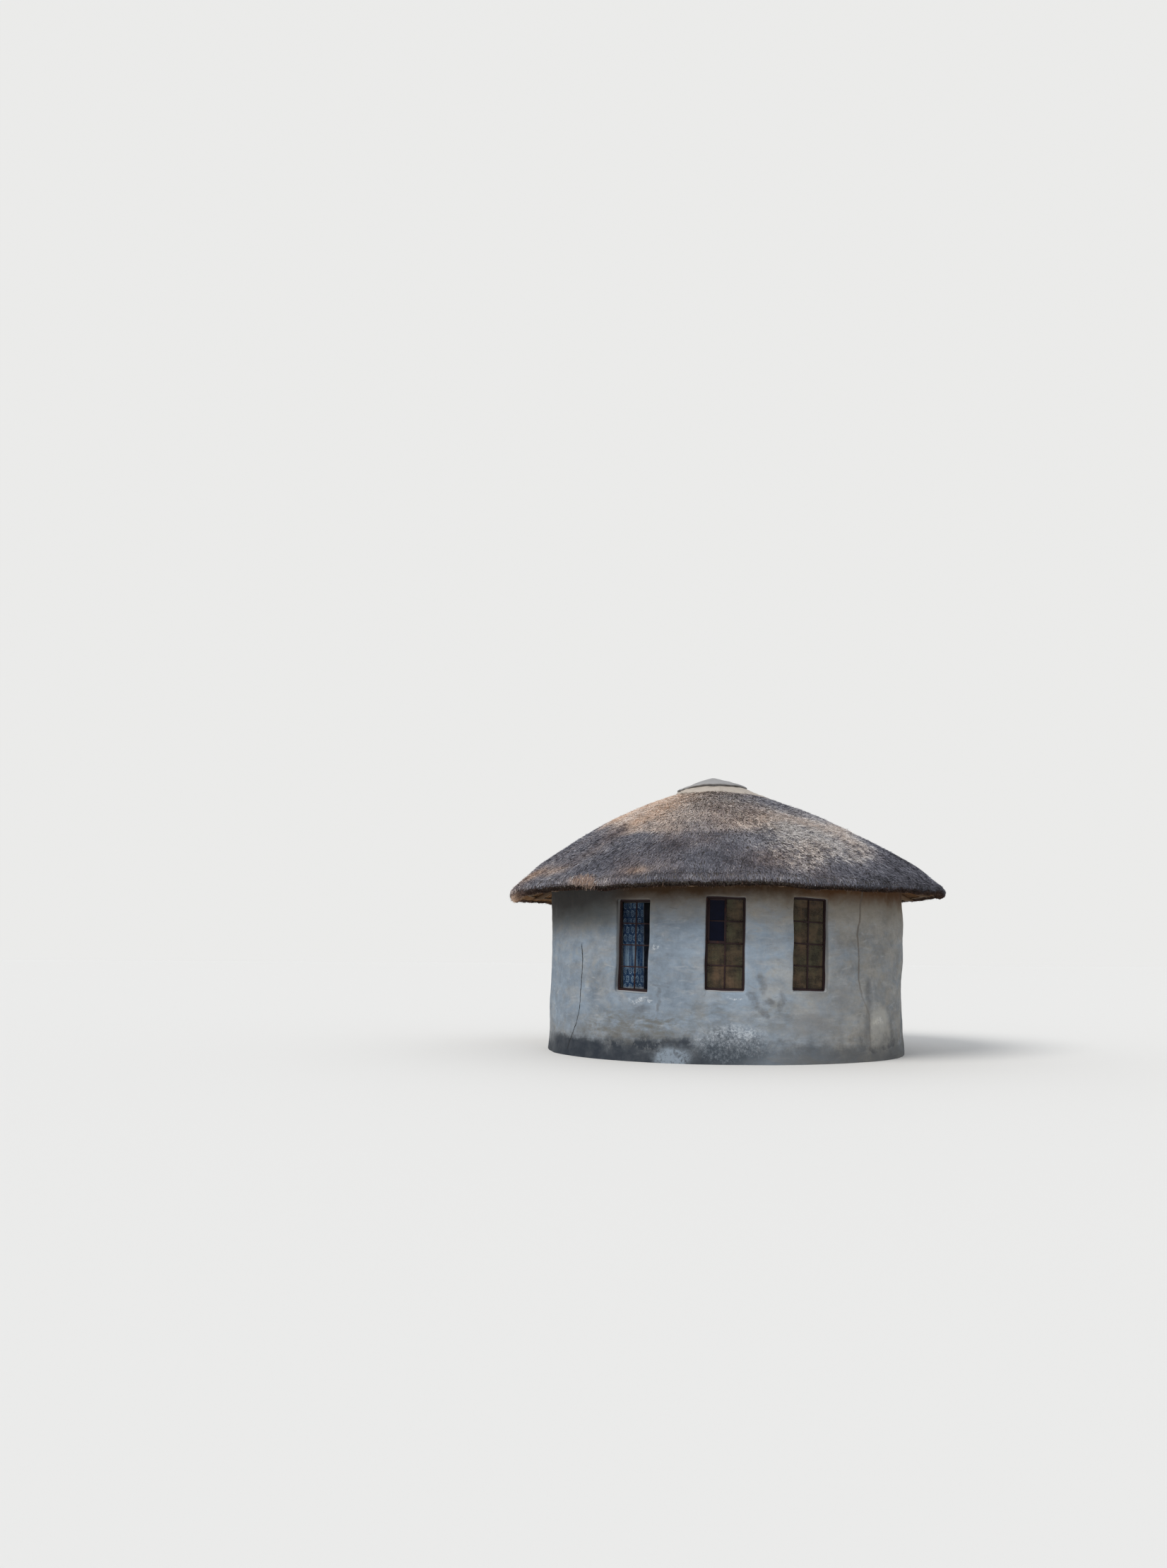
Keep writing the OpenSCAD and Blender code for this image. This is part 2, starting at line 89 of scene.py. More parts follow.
# The threshold's section, as (radius, height)
THRESHOLD = [
    (2.610, 0.100), (2.610, 0.1465), (2.602, 0.1525), (2.590, 0.153), (2.50, 0.153), (2.42, 0.153),
    (2.408, 0.152), (2.401, 0.146), (2.400, 0.100),
]

# Roof

EAVE_R = 3.300
LIP = (3.220, 2.3761)
LIP_ROUND = 0.080
LIP_TOP = (3.2703, 2.4383)
LIP_TURN = math.radians(55)
SOFFIT = (3.200, 2.2761)
HUB_CLEAR_R = 0.160
UNDER_PITCH = math.radians(28.966)
CROWN_PITCH = math.radians(20.8)
EAVE_DROP = 0.471
CROWN_Z = 4.1390
SEAT_R = 0.450
SEAT_PITCH = math.radians(16.7)
PLATE_TOP = 2.5023
LEAN = -0.073
SKIRT_R = 0.720
# The cap's section from its peak to its neck, as (radius, height)
CAP = [
    (0.0, 4.1815), (0.03, 4.1795), (0.10, 4.161), (0.20, 4.129), (0.30, 4.098), (0.38, 4.072), (0.44, 4.051),
    (0.478, 4.036), (0.498, 4.025), (0.506, 4.015), (0.503, 4.006), (0.490, 4.002), (0.470, 4.003),
    (0.452, 4.006), (0.448, 3.990), (0.448, 3.950),
]
QUARTER_STRAWS = 78_000
CUT_STRAWS = 34_000
HANGING_STRAWS = 3_500
# How far down the slope the pale patch reaches, bleached straw and partly painted sunlight, as (bearing,
# length along the slope)
PALE_REACH = [
    (0.10, 2.60), (0.21, 3.25), (0.37, 3.15), (0.51, 2.90), (0.66, 2.95), (0.95, 2.60), (1.57, 1.90),
]
# Browner, lighter patches low on the left, painted sun dapples, as (bearing, length along the slope, half
# width, half length)
SUN_DAPPLE_PATCHES = [
    (-0.36, 3.10, 0.06, 0.11), (-0.63, 3.33, 0.08, 0.12), (-0.86, 2.98, 0.11, 0.15),
    (-1.08, 2.98, 0.12, 0.20), (-1.28, 3.05, 0.12, 0.26),
]
# Tufts that hang from the eave, as (bearing in degrees, length of their straws)
TUFTS = [
    (-32.5, 0.050), (-34.3, 0.035), (-36.6, 0.02), (-83, 0.05), (-88, 0.06), (-92, 0.04),
    (131, 0.05), (205, 0.04),
]

# How far the wall's right side stands out from a true cylinder, as (height, distance)
RIGHT_SIDE = [
    (0.0, -0.008), (0.3, -0.030), (0.65, -0.034), (0.85, -0.023), (1.05, -0.020), (1.25, 0.004),
    (1.4, 0.021), (1.65, 0.027), (1.95, 0.028), (2.2, 0.017), (2.57, 0.005),
]

# Lines in the plaster from the top down, as (bearing in degrees, height)
OPEN_CRACK = [
    (-47.8, 1.55), (-47.8, 1.14), (-48.6, 0.89), (-48.9, 0.66), (-50.9, 0.46), (-53.8, 0.26), (-56.1, 0.07),
]
SEAM = [
    (45.9, 2.42), (45.5, 2.27), (44.5, 2.07), (44.5, 1.88), (43.6, 1.72), (43.7, 1.55), (43.7, 1.36),
    (43.3, 1.10), (44.6, 0.86), (47.4, 0.62), (47.6, 0.20),
]

Opening = namedtuple("Opening", "bearing width foot head front back lean")
WINDOWS = {
    name: Opening(math.radians(b), WINDOW_W, SILL_Z, HEAD_Z, FRAME_FRONT, FRAME_BACK, math.radians(lean))
    for name, (b, lean) in WINDOW_SET.items()
}
WINDOWS["left"] = WINDOWS["left"]._replace(foot=SILL_Z - DROP_LEFT, head=HEAD_Z - DROP_LEFT)
DOOR = Opening(DOOR_BEARING, DOOR_W, DOOR_FOOT, DOOR_TOP, DOOR_FRONT, DOOR_BACK, 0.0)
OPENINGS = [*WINDOWS.values(), DOOR]

# The map that holds the marks of straws and cloth
MAP = "OFBake"
# Points nearer than these are joined, in skins and in small bars
WELD = 1e-4
FINE_WELD = 1e-6


# Numbers and meshes


def drift(points, size, seed, waves=18):
    """A smooth random field with a spread of about 1: a sum of sine waves in random directions, with lengths
    round size."""
    draw = np.random.default_rng(seed)
    k = draw.normal(size=(waves, 3))
    k *= 2 * np.pi / size * draw.uniform(0.6, 1.5, (waves, 1)) / np.linalg.norm(k, axis=1, keepdims=True)
    phase = draw.uniform(0, 2 * np.pi, waves)
    return np.sin(points @ k.T + phase).sum(-1) * math.sqrt(2 / waves)


def ease(x, low, high):
    """0 below low, 1 above high, and a smooth S between them."""
    t = np.clip((x - low) / (high - low), 0, 1)
    return t * t * (3 - 2 * t)


def hump(x, middle, width):
    """A smooth bump of height 1 at middle, and about a third of that a width away."""
    return np.exp(-(((x - middle) / width) ** 2))


def unit(v):
    """Vectors over their lengths."""
    return v / np.maximum(np.linalg.norm(v, axis=-1, keepdims=True), 1e-12)


def on_circle(radius, bearing, z):
    """The point at that radius, bearing and height."""
    radius, bearing, z = np.broadcast_arrays(radius, bearing, z)
    return np.stack([radius * np.sin(bearing), -radius * np.cos(bearing), z], -1)


def at_opening(local, opening):
    """Local points (x to the right, y inwards from the wall's axis line, z up) leaned about the opening's
    middle height and turned to its bearing."""
    x, y, z = np.moveaxis(np.asarray(local, float), -1, 0)
    middle = (opening.foot + opening.head) / 2
    c, s = math.cos(opening.lean), math.sin(opening.lean)
    x, z = c * x + s * (z - middle), middle + c * (z - middle) - s * x
    c, s = math.cos(opening.bearing), math.sin(opening.bearing)
    return np.stack([c * x - s * y, s * x + c * y, z], -1)


class Shape:
    """Points and four-sided faces gathered for one piece."""

    def __init__(self):
        self.points, self.faces, self.marks, self.count = [], [], [], 0

    def add(self, points, faces, marks=None):
        """Adds loose points with faces that count from 0, and their marks, which become the map."""
        points = np.asarray(points, float).reshape(-1, 3)
        self.points.append(points)
        self.faces.append(np.asarray(faces, np.int64).reshape(-1, 4) + self.count)
        self.marks.append(np.zeros((len(points), 2)) if marks is None else np.asarray(marks).reshape(-1, 2))
        self.count += len(points)
        return self

    def grid(self, points, wrap=False, flip=False, keep=None, marks=None):
        """Adds rows of points as one surface. wrap joins each row's end to its start, keep says which cells
        stay, and flip turns the faces round."""
        rows, columns = points.shape[:2]
        index = np.arange(rows * columns).reshape(rows, columns)
        right = np.roll(index, -1, 1) if wrap else index[:, 1:]
        left = index if wrap else index[:, :-1]
        cells = np.stack([left[:-1], right[:-1], right[1:], left[1:]], -1)
        if flip:
            cells = cells[..., ::-1]
        if keep is not None:
            cells = cells[keep]
        return self.add(points, cells, marks)

    def bar(self, start, end, across, width, depth, edge=0.002):
        """Adds a bar of oblong section from start to end, with three points round each corner. across is the
        direction of its width, and its ends are drawn in by the edge's radius and closed at their middles."""
        start, end, across = (np.asarray(v, float) for v in (start, end, across))
        length, along = np.linalg.norm(end - start), unit(end - start)
        across = unit(across - along * (across @ along))
        up = np.cross(along, across)
        turn = np.linspace(0, 2 * np.pi, 12, endpoint=False) + np.pi / 12
        spread, size = np.stack([np.cos(turn), np.sin(turn)], -1), np.array([width, depth])
        outline = np.sign(spread) * (size / 2 - edge) + spread * edge
        inset, middle = outline * (1 - 2 * edge / size), outline * 0
        rows = [(0, middle), (0, inset), (edge, outline)]
        rows += [(length - edge, outline), (length, inset), (length, middle)]
        ring = [start + along * t + o[:, :1] * across + o[:, 1:] * up for t, o in rows]
        return self.grid(np.stack(ring), wrap=True)

    def strut(self, opening, ends, section, across=None):
        """Adds a bar between two local places of an opening. Where across isn't given, the bar's width lies
        square to it and along the wall."""
        start, end = at_opening(ends, opening)
        if across is None:
            across = np.cross(end - start, on_circle(1.0, opening.bearing, 0.0))
        return self.bar(start, end, across, *section)


def ribbons(near, far, across, light, warm):
    """A flat strip for each near and far point, as wide as its across vector at the near end and 0.7 of that
    at the far end. Its lightness and warmth become marks, kept a little inside the map."""
    corners = np.stack([near - across / 2, near + across / 2, far + across * 0.35, far - across * 0.35], 1)
    marks = np.clip(np.stack([light, warm], -1), 0.02, 0.98)
    return Shape().add(corners, np.arange(4 * len(near)), np.repeat(marks, 4, 0))


def piece(name, shape, finish, weld=None, smooth=True):
    """Makes the piece, joins points nearer than weld, and lets it ride on the hut."""
    mesh = bpy.data.meshes.new(name)
    points, faces, marks = (np.concatenate(v) for v in (shape.points, shape.faces, shape.marks))
    mesh.vertices.add(len(points))
    mesh.vertices.foreach_set("co", points.ravel())
    mesh.loops.add(faces.size)
    mesh.loops.foreach_set("vertex_index", faces.ravel())
    mesh.polygons.add(len(faces))
    mesh.polygons.foreach_set("loop_start", np.arange(len(faces)) * 4)
    mesh.update(calc_edges=True)
    if marks.any():
        layer = mesh.uv_layers.new(name=MAP)
        layer.uv.foreach_set("vector", marks[faces.ravel()].ravel())
    if weld:
        work = bmesh.new()
        work.from_mesh(mesh)
        bmesh.ops.remove_doubles(work, verts=work.verts, dist=weld)
        bmesh.ops.dissolve_degenerate(work, edges=work.edges, dist=FINE_WELD)
        work.to_mesh(mesh)
        work.free()
    mesh.polygons.foreach_set("use_smooth", np.full(len(mesh.polygons), smooth))
    mesh.materials.append(finish)
    body = bpy.data.objects.new(name, mesh)
    bpy.context.scene.collection.objects.link(body)
    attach(body, "root")
    return body


# Shaders


class Value:
    """An output whose numbers can be reckoned with: each operator adds a Math node."""

    def __init__(self, finish, socket):
        self.finish, self.socket = finish, socket

    def math(self, operation, *others, clamp=False):
        """Adds a Math node with this value first and the others after it."""
        settings = {"operation": operation, "use_clamp": clamp}
        made = self.finish.node("Math", settings, dict(enumerate((self, *others))))
        return Value(self.finish, made.outputs[0])

    def __add__(self, other):
        return self.math("ADD", other)

    def __sub__(self, other):
        return self.math("SUBTRACT", other)

    def __mul__(self, other):
        return self.math("MULTIPLY", other)

    def __truediv__(self, other):
        return self.math("DIVIDE", other)

    def __neg__(self):
        return self * -1.0

    def __rsub__(self, other):
        return -self + other

    __radd__ = __add__
    __rmul__ = __mul__

    def size(self):
        """The value without its sign."""
        return self.math("ABSOLUTE")

    def most(self, other):
        """The larger of two values."""
        return self.math("MAXIMUM", other)

    def clip(self):
        """The value held between 0 and 1."""
        return self.math("ADD", 0.0, clamp=True)

    def swing(self, amount):
        """Noise from 0 to 1 as a change of half the amount either way."""
        return (self - 0.5) * amount

    def rise(self, low, high):
        """0 at low, 1 at high, with a smooth S between them. High may be below low."""
        sockets = {"Value": self, "From Min": low, "From Max": high, "To Min": 0.0, "To Max": 1.0}
        made = self.finish.node("MapRange", {"interpolation_type": "SMOOTHSTEP"}, sockets)
        return Value(self.finish, made.outputs["Result"])


def span_of(a, b):
    """The length whose parts are a and b."""
    return (a * a + b * b).math("SQRT")


class Nodes:
    """The node tree of a material or a world, cleared and built up anew."""

    def __init__(self, owner):
        owner.use_nodes = True
        self.tree = owner.node_tree
        self.tree.nodes.clear()

    def node(self, kind, settings=None, sockets=None):
        """Adds a node, with its settings first and then its sockets' values or links. A ramp's stops are
        (place, colour) pairs."""
        made = self.tree.nodes.new("ShaderNode" + kind)
        for key, value in (settings or {}).items():
            if key != "stops":
                setattr(made, key, value)
                continue
            elements = made.color_ramp.elements
            while len(elements) < len(value):
                elements.new(0.5)
            for element, (where, colour) in zip(elements, value):
                element.position, element.color = where, (*colour, 1.0)
        for key, value in (sockets or {}).items():
            self.feed(made.inputs[key], value)
        return made

    def feed(self, socket, value):
        """Links or sets one socket."""
        value = value.socket if isinstance(value, Value) else value
        if isinstance(value, bpy.types.NodeSocket):
            self.tree.links.new(value, socket)
        elif socket.type == "RGBA" and len(value) == 3:
            socket.default_value = (*value, 1.0)
        else:
            socket.default_value = value


class Finish(Nodes):
    """A material on Object coordinates, or on the piece's own map, whose colour is laid on coat by coat."""

    def __init__(self, name, roughness, specular):
        self.material = bpy.data.materials.new(name)
        super().__init__(self.material)
        numbers = {"Roughness": roughness, "Specular IOR Level": specular}
        self.shader = self.node("BsdfPrincipled", {}, numbers)
        self.node("OutputMaterial", {}, {"Surface": self.shader.outputs[0]})
        self.place = self.node("TexCoord").outputs["Object"]
        self.colour = None

    def set(self, name, value):
        """Feeds one socket of the shader."""
        self.feed(self.shader.inputs[name], value)

    def noise(self, scale, detail=3.0, rough=0.55, stretch=None, distortion=0.0, vector=None):
        """Noise from 0 to 1 at that many cells to the metre, more along the axes that stretch scales up."""
        vector = vector or self.place
        if stretch:
            vector = self.node("Mapping", {}, {"Vector": vector, "Scale": stretch}).outputs[0]
        numbers = {"Scale": scale, "Detail": detail, "Roughness": rough, "Distortion": distortion}
        return Value(self, self.node("TexNoise", {}, {"Vector": vector, **numbers}).outputs[0])

    def parts(self, vector=None):
        """The three numbers of a vector, or of the place on the object."""
        made = self.node("SeparateXYZ", {}, {0: vector or self.place})
        return [Value(self, made.outputs[i]) for i in range(3)]

    def on_map(self):
        """The two numbers of the piece's own map."""
        return self.parts(self.node("UVMap", {"uv_map": MAP}).outputs[0])[:2]

    def polar(self):
        """Bearing, radius and height."""
        x, y, z = self.parts()
        return x.math("ARCTAN2", -y), span_of(x, y), z

    def joined(self, x, y, z):
        """Three numbers as a vector or a colour."""
        return self.node("CombineXYZ", {}, {0: x, 1: y, 2: z}).outputs[0]

    def mix(self, low, high, factor):
        """The colour low where factor is 0 and high where it is 1."""
        return self.node("Mix", {"data_type": "RGBA"}, {0: factor, 6: low, 7: high}).outputs[2]

    def tint(self, colour, amount):
        """The colour times a number."""
        return self.node("VectorMath", {"operation": "SCALE"}, {0: colour, "Scale": amount}).outputs[0]

    def ramp(self, value, *stops):
        """The colour that a value has between (place, colour) stops."""
        return self.node("ValToRGB", {"stops": stops}, {0: value}).outputs[0]

    def lay(self, tone, share):
        """Covers the colour so far with a tone, as far as share says."""
        self.colour = self.mix(self.colour, tone, share)

    def dim(self, amount):
        """Scales the colour so far."""
        self.colour = self.tint(self.colour, amount)

    def strokes(self, turns, length):
        """Noise drawn out along lines that run from the crown to the eave: turns cells to the radian across,
        and length cells to the metre along."""
        bearing, radius, z = self.polar()
        return self.noise(1.0, 4, 0.6, vector=self.joined(bearing * turns, radius * length, z * 2.0))

    def finished(self, height=None, distance=0.0, strength=1.0):
        """Sets the colour and, where a height is given, the bump. Returns the material."""
        self.set("Base Color", self.colour)
        if height is not None:
            bump = self.node("Bump", {}, {"Height": height, "Distance": distance, "Strength": strength})
            self.set("Normal", bump.outputs[0])
        return self.material


def weathered_plaster():
    """Hand-trowelled cement plaster: cool blue-grey on the left, its blue the sky's cast in shade painted in,
    warmer on the right, browned under the thatch by stain and painted eave shade, with a painted eave shadow
    high on the left, damp at its foot, with the cracks, smears and salt bloom that its front shows, and
    reveals paled partly by painted light.
    Marks are placed by bearing and height, and slow noise bends them so that none has a drawn edge."""
    f = Finish("weathered_plaster", roughness=0.92, specular=0.2)
    x, y, z = f.parts()
    turn, radius, _ = f.polar()
    along = turn * WALL_R
    cloud = f.noise(0.8, 3)
    mottle = f.noise(3.2, 5, 0.6)
    blotch = f.noise(7.5, 5, 0.65)
    fleck = f.noise(24, 6, 0.75)
    grain = f.noise(120, 3, 0.7)
    trowel = f.noise(4.4, 4, 0.6, (1, 1, 3.0), 0.8)
    smear = f.noise(1.9, 7, 0.68, (1, 1, 2.4), 0.5)
    tone = f.noise(2.7, 6, 0.66, (1.1, 0.9, 1.9), 0.7)
    bent_along = along + f.noise(3.0, 5, 0.62, (1.07, 0.93, 1.1)).swing(0.30)
    bent_z = z + f.noise(3.3, 5, 0.62, (0.91, 1.13, 1.05)).swing(0.26)

    def spot(bearing, height, half_along, half_up, soft=0.9):
        """1 inside an oval on the wall's face, falling to 0 outside it."""
        dx = (bent_along - math.radians(bearing) * WALL_R) / half_along
        dz = (bent_z - height) / half_up
        return span_of(dx, dz).rise(1 + soft / 2, 1 - soft / 2)

    def stroke(b0, z0, b1, z1, half):
        """1 on the line between two bearings and heights, falling to 0 away from it."""
        s0, ds, dz = math.radians(b0) * WALL_R, math.radians(b1 - b0) * WALL_R, z1 - z0
        t = (((bent_along - s0) * ds + (bent_z - z0) * dz) / (ds * ds + dz * dz)).clip()
        return span_of(bent_along - s0 - t * ds, bent_z - z0 - t * dz).rise(half * 1.3, half * 0.2)

    def crack(path, half, wander):
        """1 on a line through (bearing, height) points from the top down, which wanders a little sideways."""
        low, high = path[-1][1], path[0][1]
        least = min(b for b, _ in path) - 1
        most = max(b for b, _ in path) + 1
        stops = [((h - low) / (high - low), ((b - least) / (most - least),) * 3) for b, h in reversed(path)]
        bearing = Value(f, f.ramp((z - low) / (high - low), *stops))
        centre = (bearing * (most - least) + least) * (math.radians(1) * WALL_R)
        reach = (along - centre + f.noise(7, 6, 0.68).swing(wander)).size()
        line = reach.rise(half, half * 0.3)
        return line * z.rise(low - 0.02, low + 0.05) * z.rise(high + 0.04, high - 0.04)

    # Colour of the sound face: cooler on the left, where the blue is the sky's cast in shade painted in,
    # greyer at the back, warmer on the right and under the eave
    warmth = x.rise(0.2, 1.85) * 0.62 + cloud.swing(1.1) + tone.swing(2.1)
    warmth = warmth + z.rise(1.4, 2.2) * (0.12 + x.rise(-0.2, 0.6) * 0.45)
    cool = f.mix((0.238, 0.290, 0.350), (0.264, 0.284, 0.308), y.rise(-0.8, 1.6))
    f.colour = f.mix(cool, (0.322, 0.312, 0.290), (warmth + 0.05).clip())
    paler = along.rise(-0.75, 0.35) * along.rise(2.4, 0.4) * 0.27
    shade = smear.swing(0.85) + mottle.swing(0.62) + blotch.swing(0.46)
    f.dim(0.81 + paler + shade + fleck.swing(0.30) + grain.swing(0.14))
    f.lay((0.44, 0.45, 0.455), trowel.rise(0.54, 0.76) * 0.36)
    f.lay((0.17, 0.17, 0.170), trowel.rise(0.42, 0.26) * 0.32)
    f.lay((0.25, 0.235, 0.195), blotch.rise(0.5, 0.7) * cloud.rise(0.42, 0.6) * 0.35)

    # Straw and soot stain under the thatch, partly painted eave shade, with runs below it, and a painted eave
    # shadow high on the left. Marks of the left fade before the back
    not_back = along.rise(-7.6, -4.6)
    # The stain's height. On the left, painted eave shade carries it lower
    stain_and_shade_height = z + mottle.swing(0.26) + blotch.swing(0.10) + along.rise(-1.3, -2.4) * not_back * 0.16
    f.lay((0.185, 0.155, 0.110), stain_and_shade_height.rise(1.72, 2.22) * 0.66)
    # Soot and painted eave shade: the band right under the eave is darkened as if shaded
    soot = f.mix((0.052, 0.027, 0.011), (0.082, 0.034, 0.009), x.rise(0.5, 1.7))
    f.lay(soot, stain_and_shade_height.rise(2.03, 2.31) * 0.96)
    # Painted shadow of the eave on the upper left wall
    painted_eave_shadow = along.rise(-1.15, -1.75) * along.rise(-4.2, -3.4) * (z + smear.swing(0.5)).rise(1.60, 1.95)
    f.lay((0.045, 0.058, 0.066), painted_eave_shadow * 0.62)
    runs = f.noise(4.5, 3, 0.6, (1, 1, 0.09)).rise(0.54, 0.74)
    f.lay((0.17, 0.135, 0.10), runs * z.rise(1.65, 2.45) * 0.40)

    # Olive and grey soiling below the sills, with a beige patch beside the seam
    olive = spot(-28, 0.44, 0.95, 0.22).most((spot(-4, 0.62, 0.40, 0.22) + spot(14, 0.62, 0.35, 0.25)) * 0.5)
    drawn = f.noise(5.2, 8, 0.72, (0.8, 0.8, 2.2), 0.3)
    f.lay((0.125, 0.121, 0.104), olive * drawn.rise(0.38, 0.62) * 0.80)
    f.lay((0.330, 0.325, 0.305), olive * drawn.rise(0.44, 0.28) * 0.40)
    broad = spot(33, 0.86, 0.36, 0.20).most(spot(27, 0.50, 0.50, 0.16))
    f.lay((0.185, 0.190, 0.195), broad * mottle.rise(0.30, 0.60) * 0.60)
    beige = spot(53, 0.42, 0.30, 0.34, 0.5) * along.rise(2.185, 2.225)
    f.lay((0.43, 0.415, 0.375), beige * (blotch * 0.8 + 0.30).clip() * 0.85)
    f.lay((0.56, 0.55, 0.51), spot(51.5, 0.53, 0.12, 0.05) * fleck.rise(0.40, 0.60) * 0.7)

    # Splash and damp at the foot, heavier and higher on the left, with a bare place in it
    left = along.rise(0.6, -0.5) * not_back
    ragged = mottle.swing(0.40) + smear.swing(0.34) + blotch.swing(0.20) + fleck.swing(0.12)
    wet = z + ragged
    f.lay((0.165, 0.160, 0.148), wet.rise(0.62, 0.18) * (0.35 + left * 0.25))
    far_left = along.rise(-1.45, -1.85) * along.rise(-3.6, -3.0)
    damp = wet.rise(0.36, 0.10) * (0.48 + left * 0.48)
    damp = damp.most((z + ragged * 0.55).rise(0.36, 0.20) * far_left)
    damp = damp.most(stroke(-36, 0.20, -10, 0.24, 0.13) * (blotch + fleck * 0.4).rise(0.50, 0.74) * 0.95)
    damp = damp.most(stroke(48, 0.16, 62, 0.19, 0.075) * (blotch + 0.1).rise(0.3, 0.7) * 0.70)
    bare = spot(-15.0, 0.08, 0.23, 0.15, 1.0) * (blotch * 0.6 + fleck * 0.9).rise(0.46, 0.84)
    damp = damp * (1 - bare * 0.85)
    f.lay((0.270, 0.325, 0.385), (bare * 1.25).clip() * 0.85)
    f.lay((0.020, 0.026, 0.036), damp * (0.68 + blotch * 0.55).clip())

    # Salt bloom and flaking on the front
    bloom = spot(1.8, 0.24, 0.45, 0.24, 0.8)
    flake = f.noise(26, 8, 0.86) + blotch.swing(0.30) + (z - 0.28) * 0.42
    stops = (0.40, (0.040, 0.052, 0.067)), (0.52, (0.150, 0.172, 0.198)), (0.66, (0.46, 0.50, 0.55))
    f.lay(f.ramp(flake, *stops), bloom * 0.74)
    f.lay((0.48, 0.52, 0.56), spot(4.5, 0.42, 0.30, 0.09, 1.0) * flake.rise(0.52, 0.70) * 0.6)

    # White smears by two sills
    smears = spot(-25.3, 0.825, 0.13, 0.030, 0.8).most(spot(-22.4, 0.79, 0.06, 0.02, 0.8))
    smears = smears.most(spot(3.6, 0.875, 0.10, 0.020, 0.8)).most(spot(-19.6, 1.50, 0.05, 0.03, 0.8))
    f.lay((0.62, 0.65, 0.68), smears * fleck.rise(0.42, 0.62) * 0.65)

    # Dark rubs beside and between the sills
    rubs = stroke(7.6, 0.94, 12.4, 0.60, 0.050).most(stroke(-18.2, 0.93, -19.0, 0.66, 0.035))
    rubs = rubs.most(stroke(-20.5, 0.99, -15.5, 0.965, 0.018))
    ovals = [(10.4, 1.07, 0.05, 0.13), (16.4, 0.82, 0.045, 0.15), (12.6, 0.80, 0.09, 0.06)]
    for oval in (*ovals, (-24, 0.68, 0.16, 0.06), (47.6, 0.93, 0.085, 0.15)):
        rubs = rubs.most(spot(*oval))
    f.lay((0.105, 0.110, 0.118), rubs * (blotch * 0.7 + trowel * 0.5).rise(0.40, 0.75) * 0.68)

    # Marks under the eave, a soft seam on the right, an open crack on the left and hair cracks all over
    f.lay((0.14, 0.105, 0.07), stroke(40.4, 2.34, 37.0, 2.12, 0.030) * 0.45)
    f.lay((0.135, 0.135, 0.135), stroke(46.4, 0.98, 46.9, 0.28, 0.085) * (blotch + 0.1).rise(0.3, 0.6) * 0.42)
    seam = crack(SEAM, 0.024, 0.045) * (0.30 + z.rise(0.70, 1.25) * 0.45)
    f.lay((0.120, 0.102, 0.085), seam * (blotch * 1.1 + 0.35).clip())
    open_crack = crack(OPEN_CRACK, 0.010, 0.060)
    f.lay((0.012, 0.011, 0.010), open_crack * 0.95)
    flat = f.joined(bent_along, 0.0, bent_z)
    cells = f.node("TexVoronoi", {"feature": "DISTANCE_TO_EDGE"}, {"Vector": flat, "Scale": 1.3})
    hair = Value(f, cells.outputs[0]).rise(0.0045, 0.001) * mottle.rise(0.55, 0.66)
    f.lay((0.11, 0.105, 0.10), hair * 0.22)

    # Reveals paler than the face, partly as less weathered plaster and partly as painted light where the
    # arris and reveal catch it, and pale smooth sills. The right side's hollow isn't a reveal
    hollow = along.rise(2.5, 2.9) * along.rise(4.9, 4.5) * 0.040
    in_reveal = (radius + hollow).rise(2.640, 2.615)
    f.lay((0.36, 0.36, 0.355), in_reveal * 0.55)
    sill = in_reveal * z.rise(SILL_Z + 0.05, SILL_Z + 0.02) * z.rise(SILL_Z - 0.12, SILL_Z - 0.08)
    f.lay((0.42, 0.44, 0.46), sill * 0.8)

    f.set("Roughness", (0.95 - damp * 0.22).clip())
    height = mottle * 0.55 + trowel * 0.5 + blotch * 0.3 + grain * 0.10 + bloom * fleck * 0.6
    return f.finished(height - open_crack * 1.6 - seam * 0.30 - hair * 0.3, 0.012, 0.75)


def limed_plaster():
    """Plain pale plaster of the room, dusty and a little uneven."""
    f = Finish("limed_plaster", roughness=0.9, specular=0.2)
    z, mottle = f.parts()[2], f.noise(2.5, 4)
    f.colour = f.mix((0.42, 0.40, 0.36), (0.52, 0.50, 0.46), mottle)
    f.lay((0.27, 0.24, 0.20), (z + mottle * 0.3).rise(0.65, 0.3) * 0.6)
    return f.finished(f.noise(9, 4) + f.noise(90, 2) * 0.1, 0.006, 0.6)


def thatch_depth_shade():
    """Painted shade: the straw between and below the loose straws, dark as if shadowed."""
    f = Finish("thatch_depth_shade", roughness=1.0, specular=0.05)
    strokes = f.strokes(190, 3.0)
    f.colour = f.ramp(strokes, (0.3, (0.050, 0.044, 0.038)), (0.7, (0.190, 0.168, 0.146)))
    f.dim(0.75 + f.noise(1.4, 4) * 0.5)
    return f.finished(strokes, 0.02, 0.8)


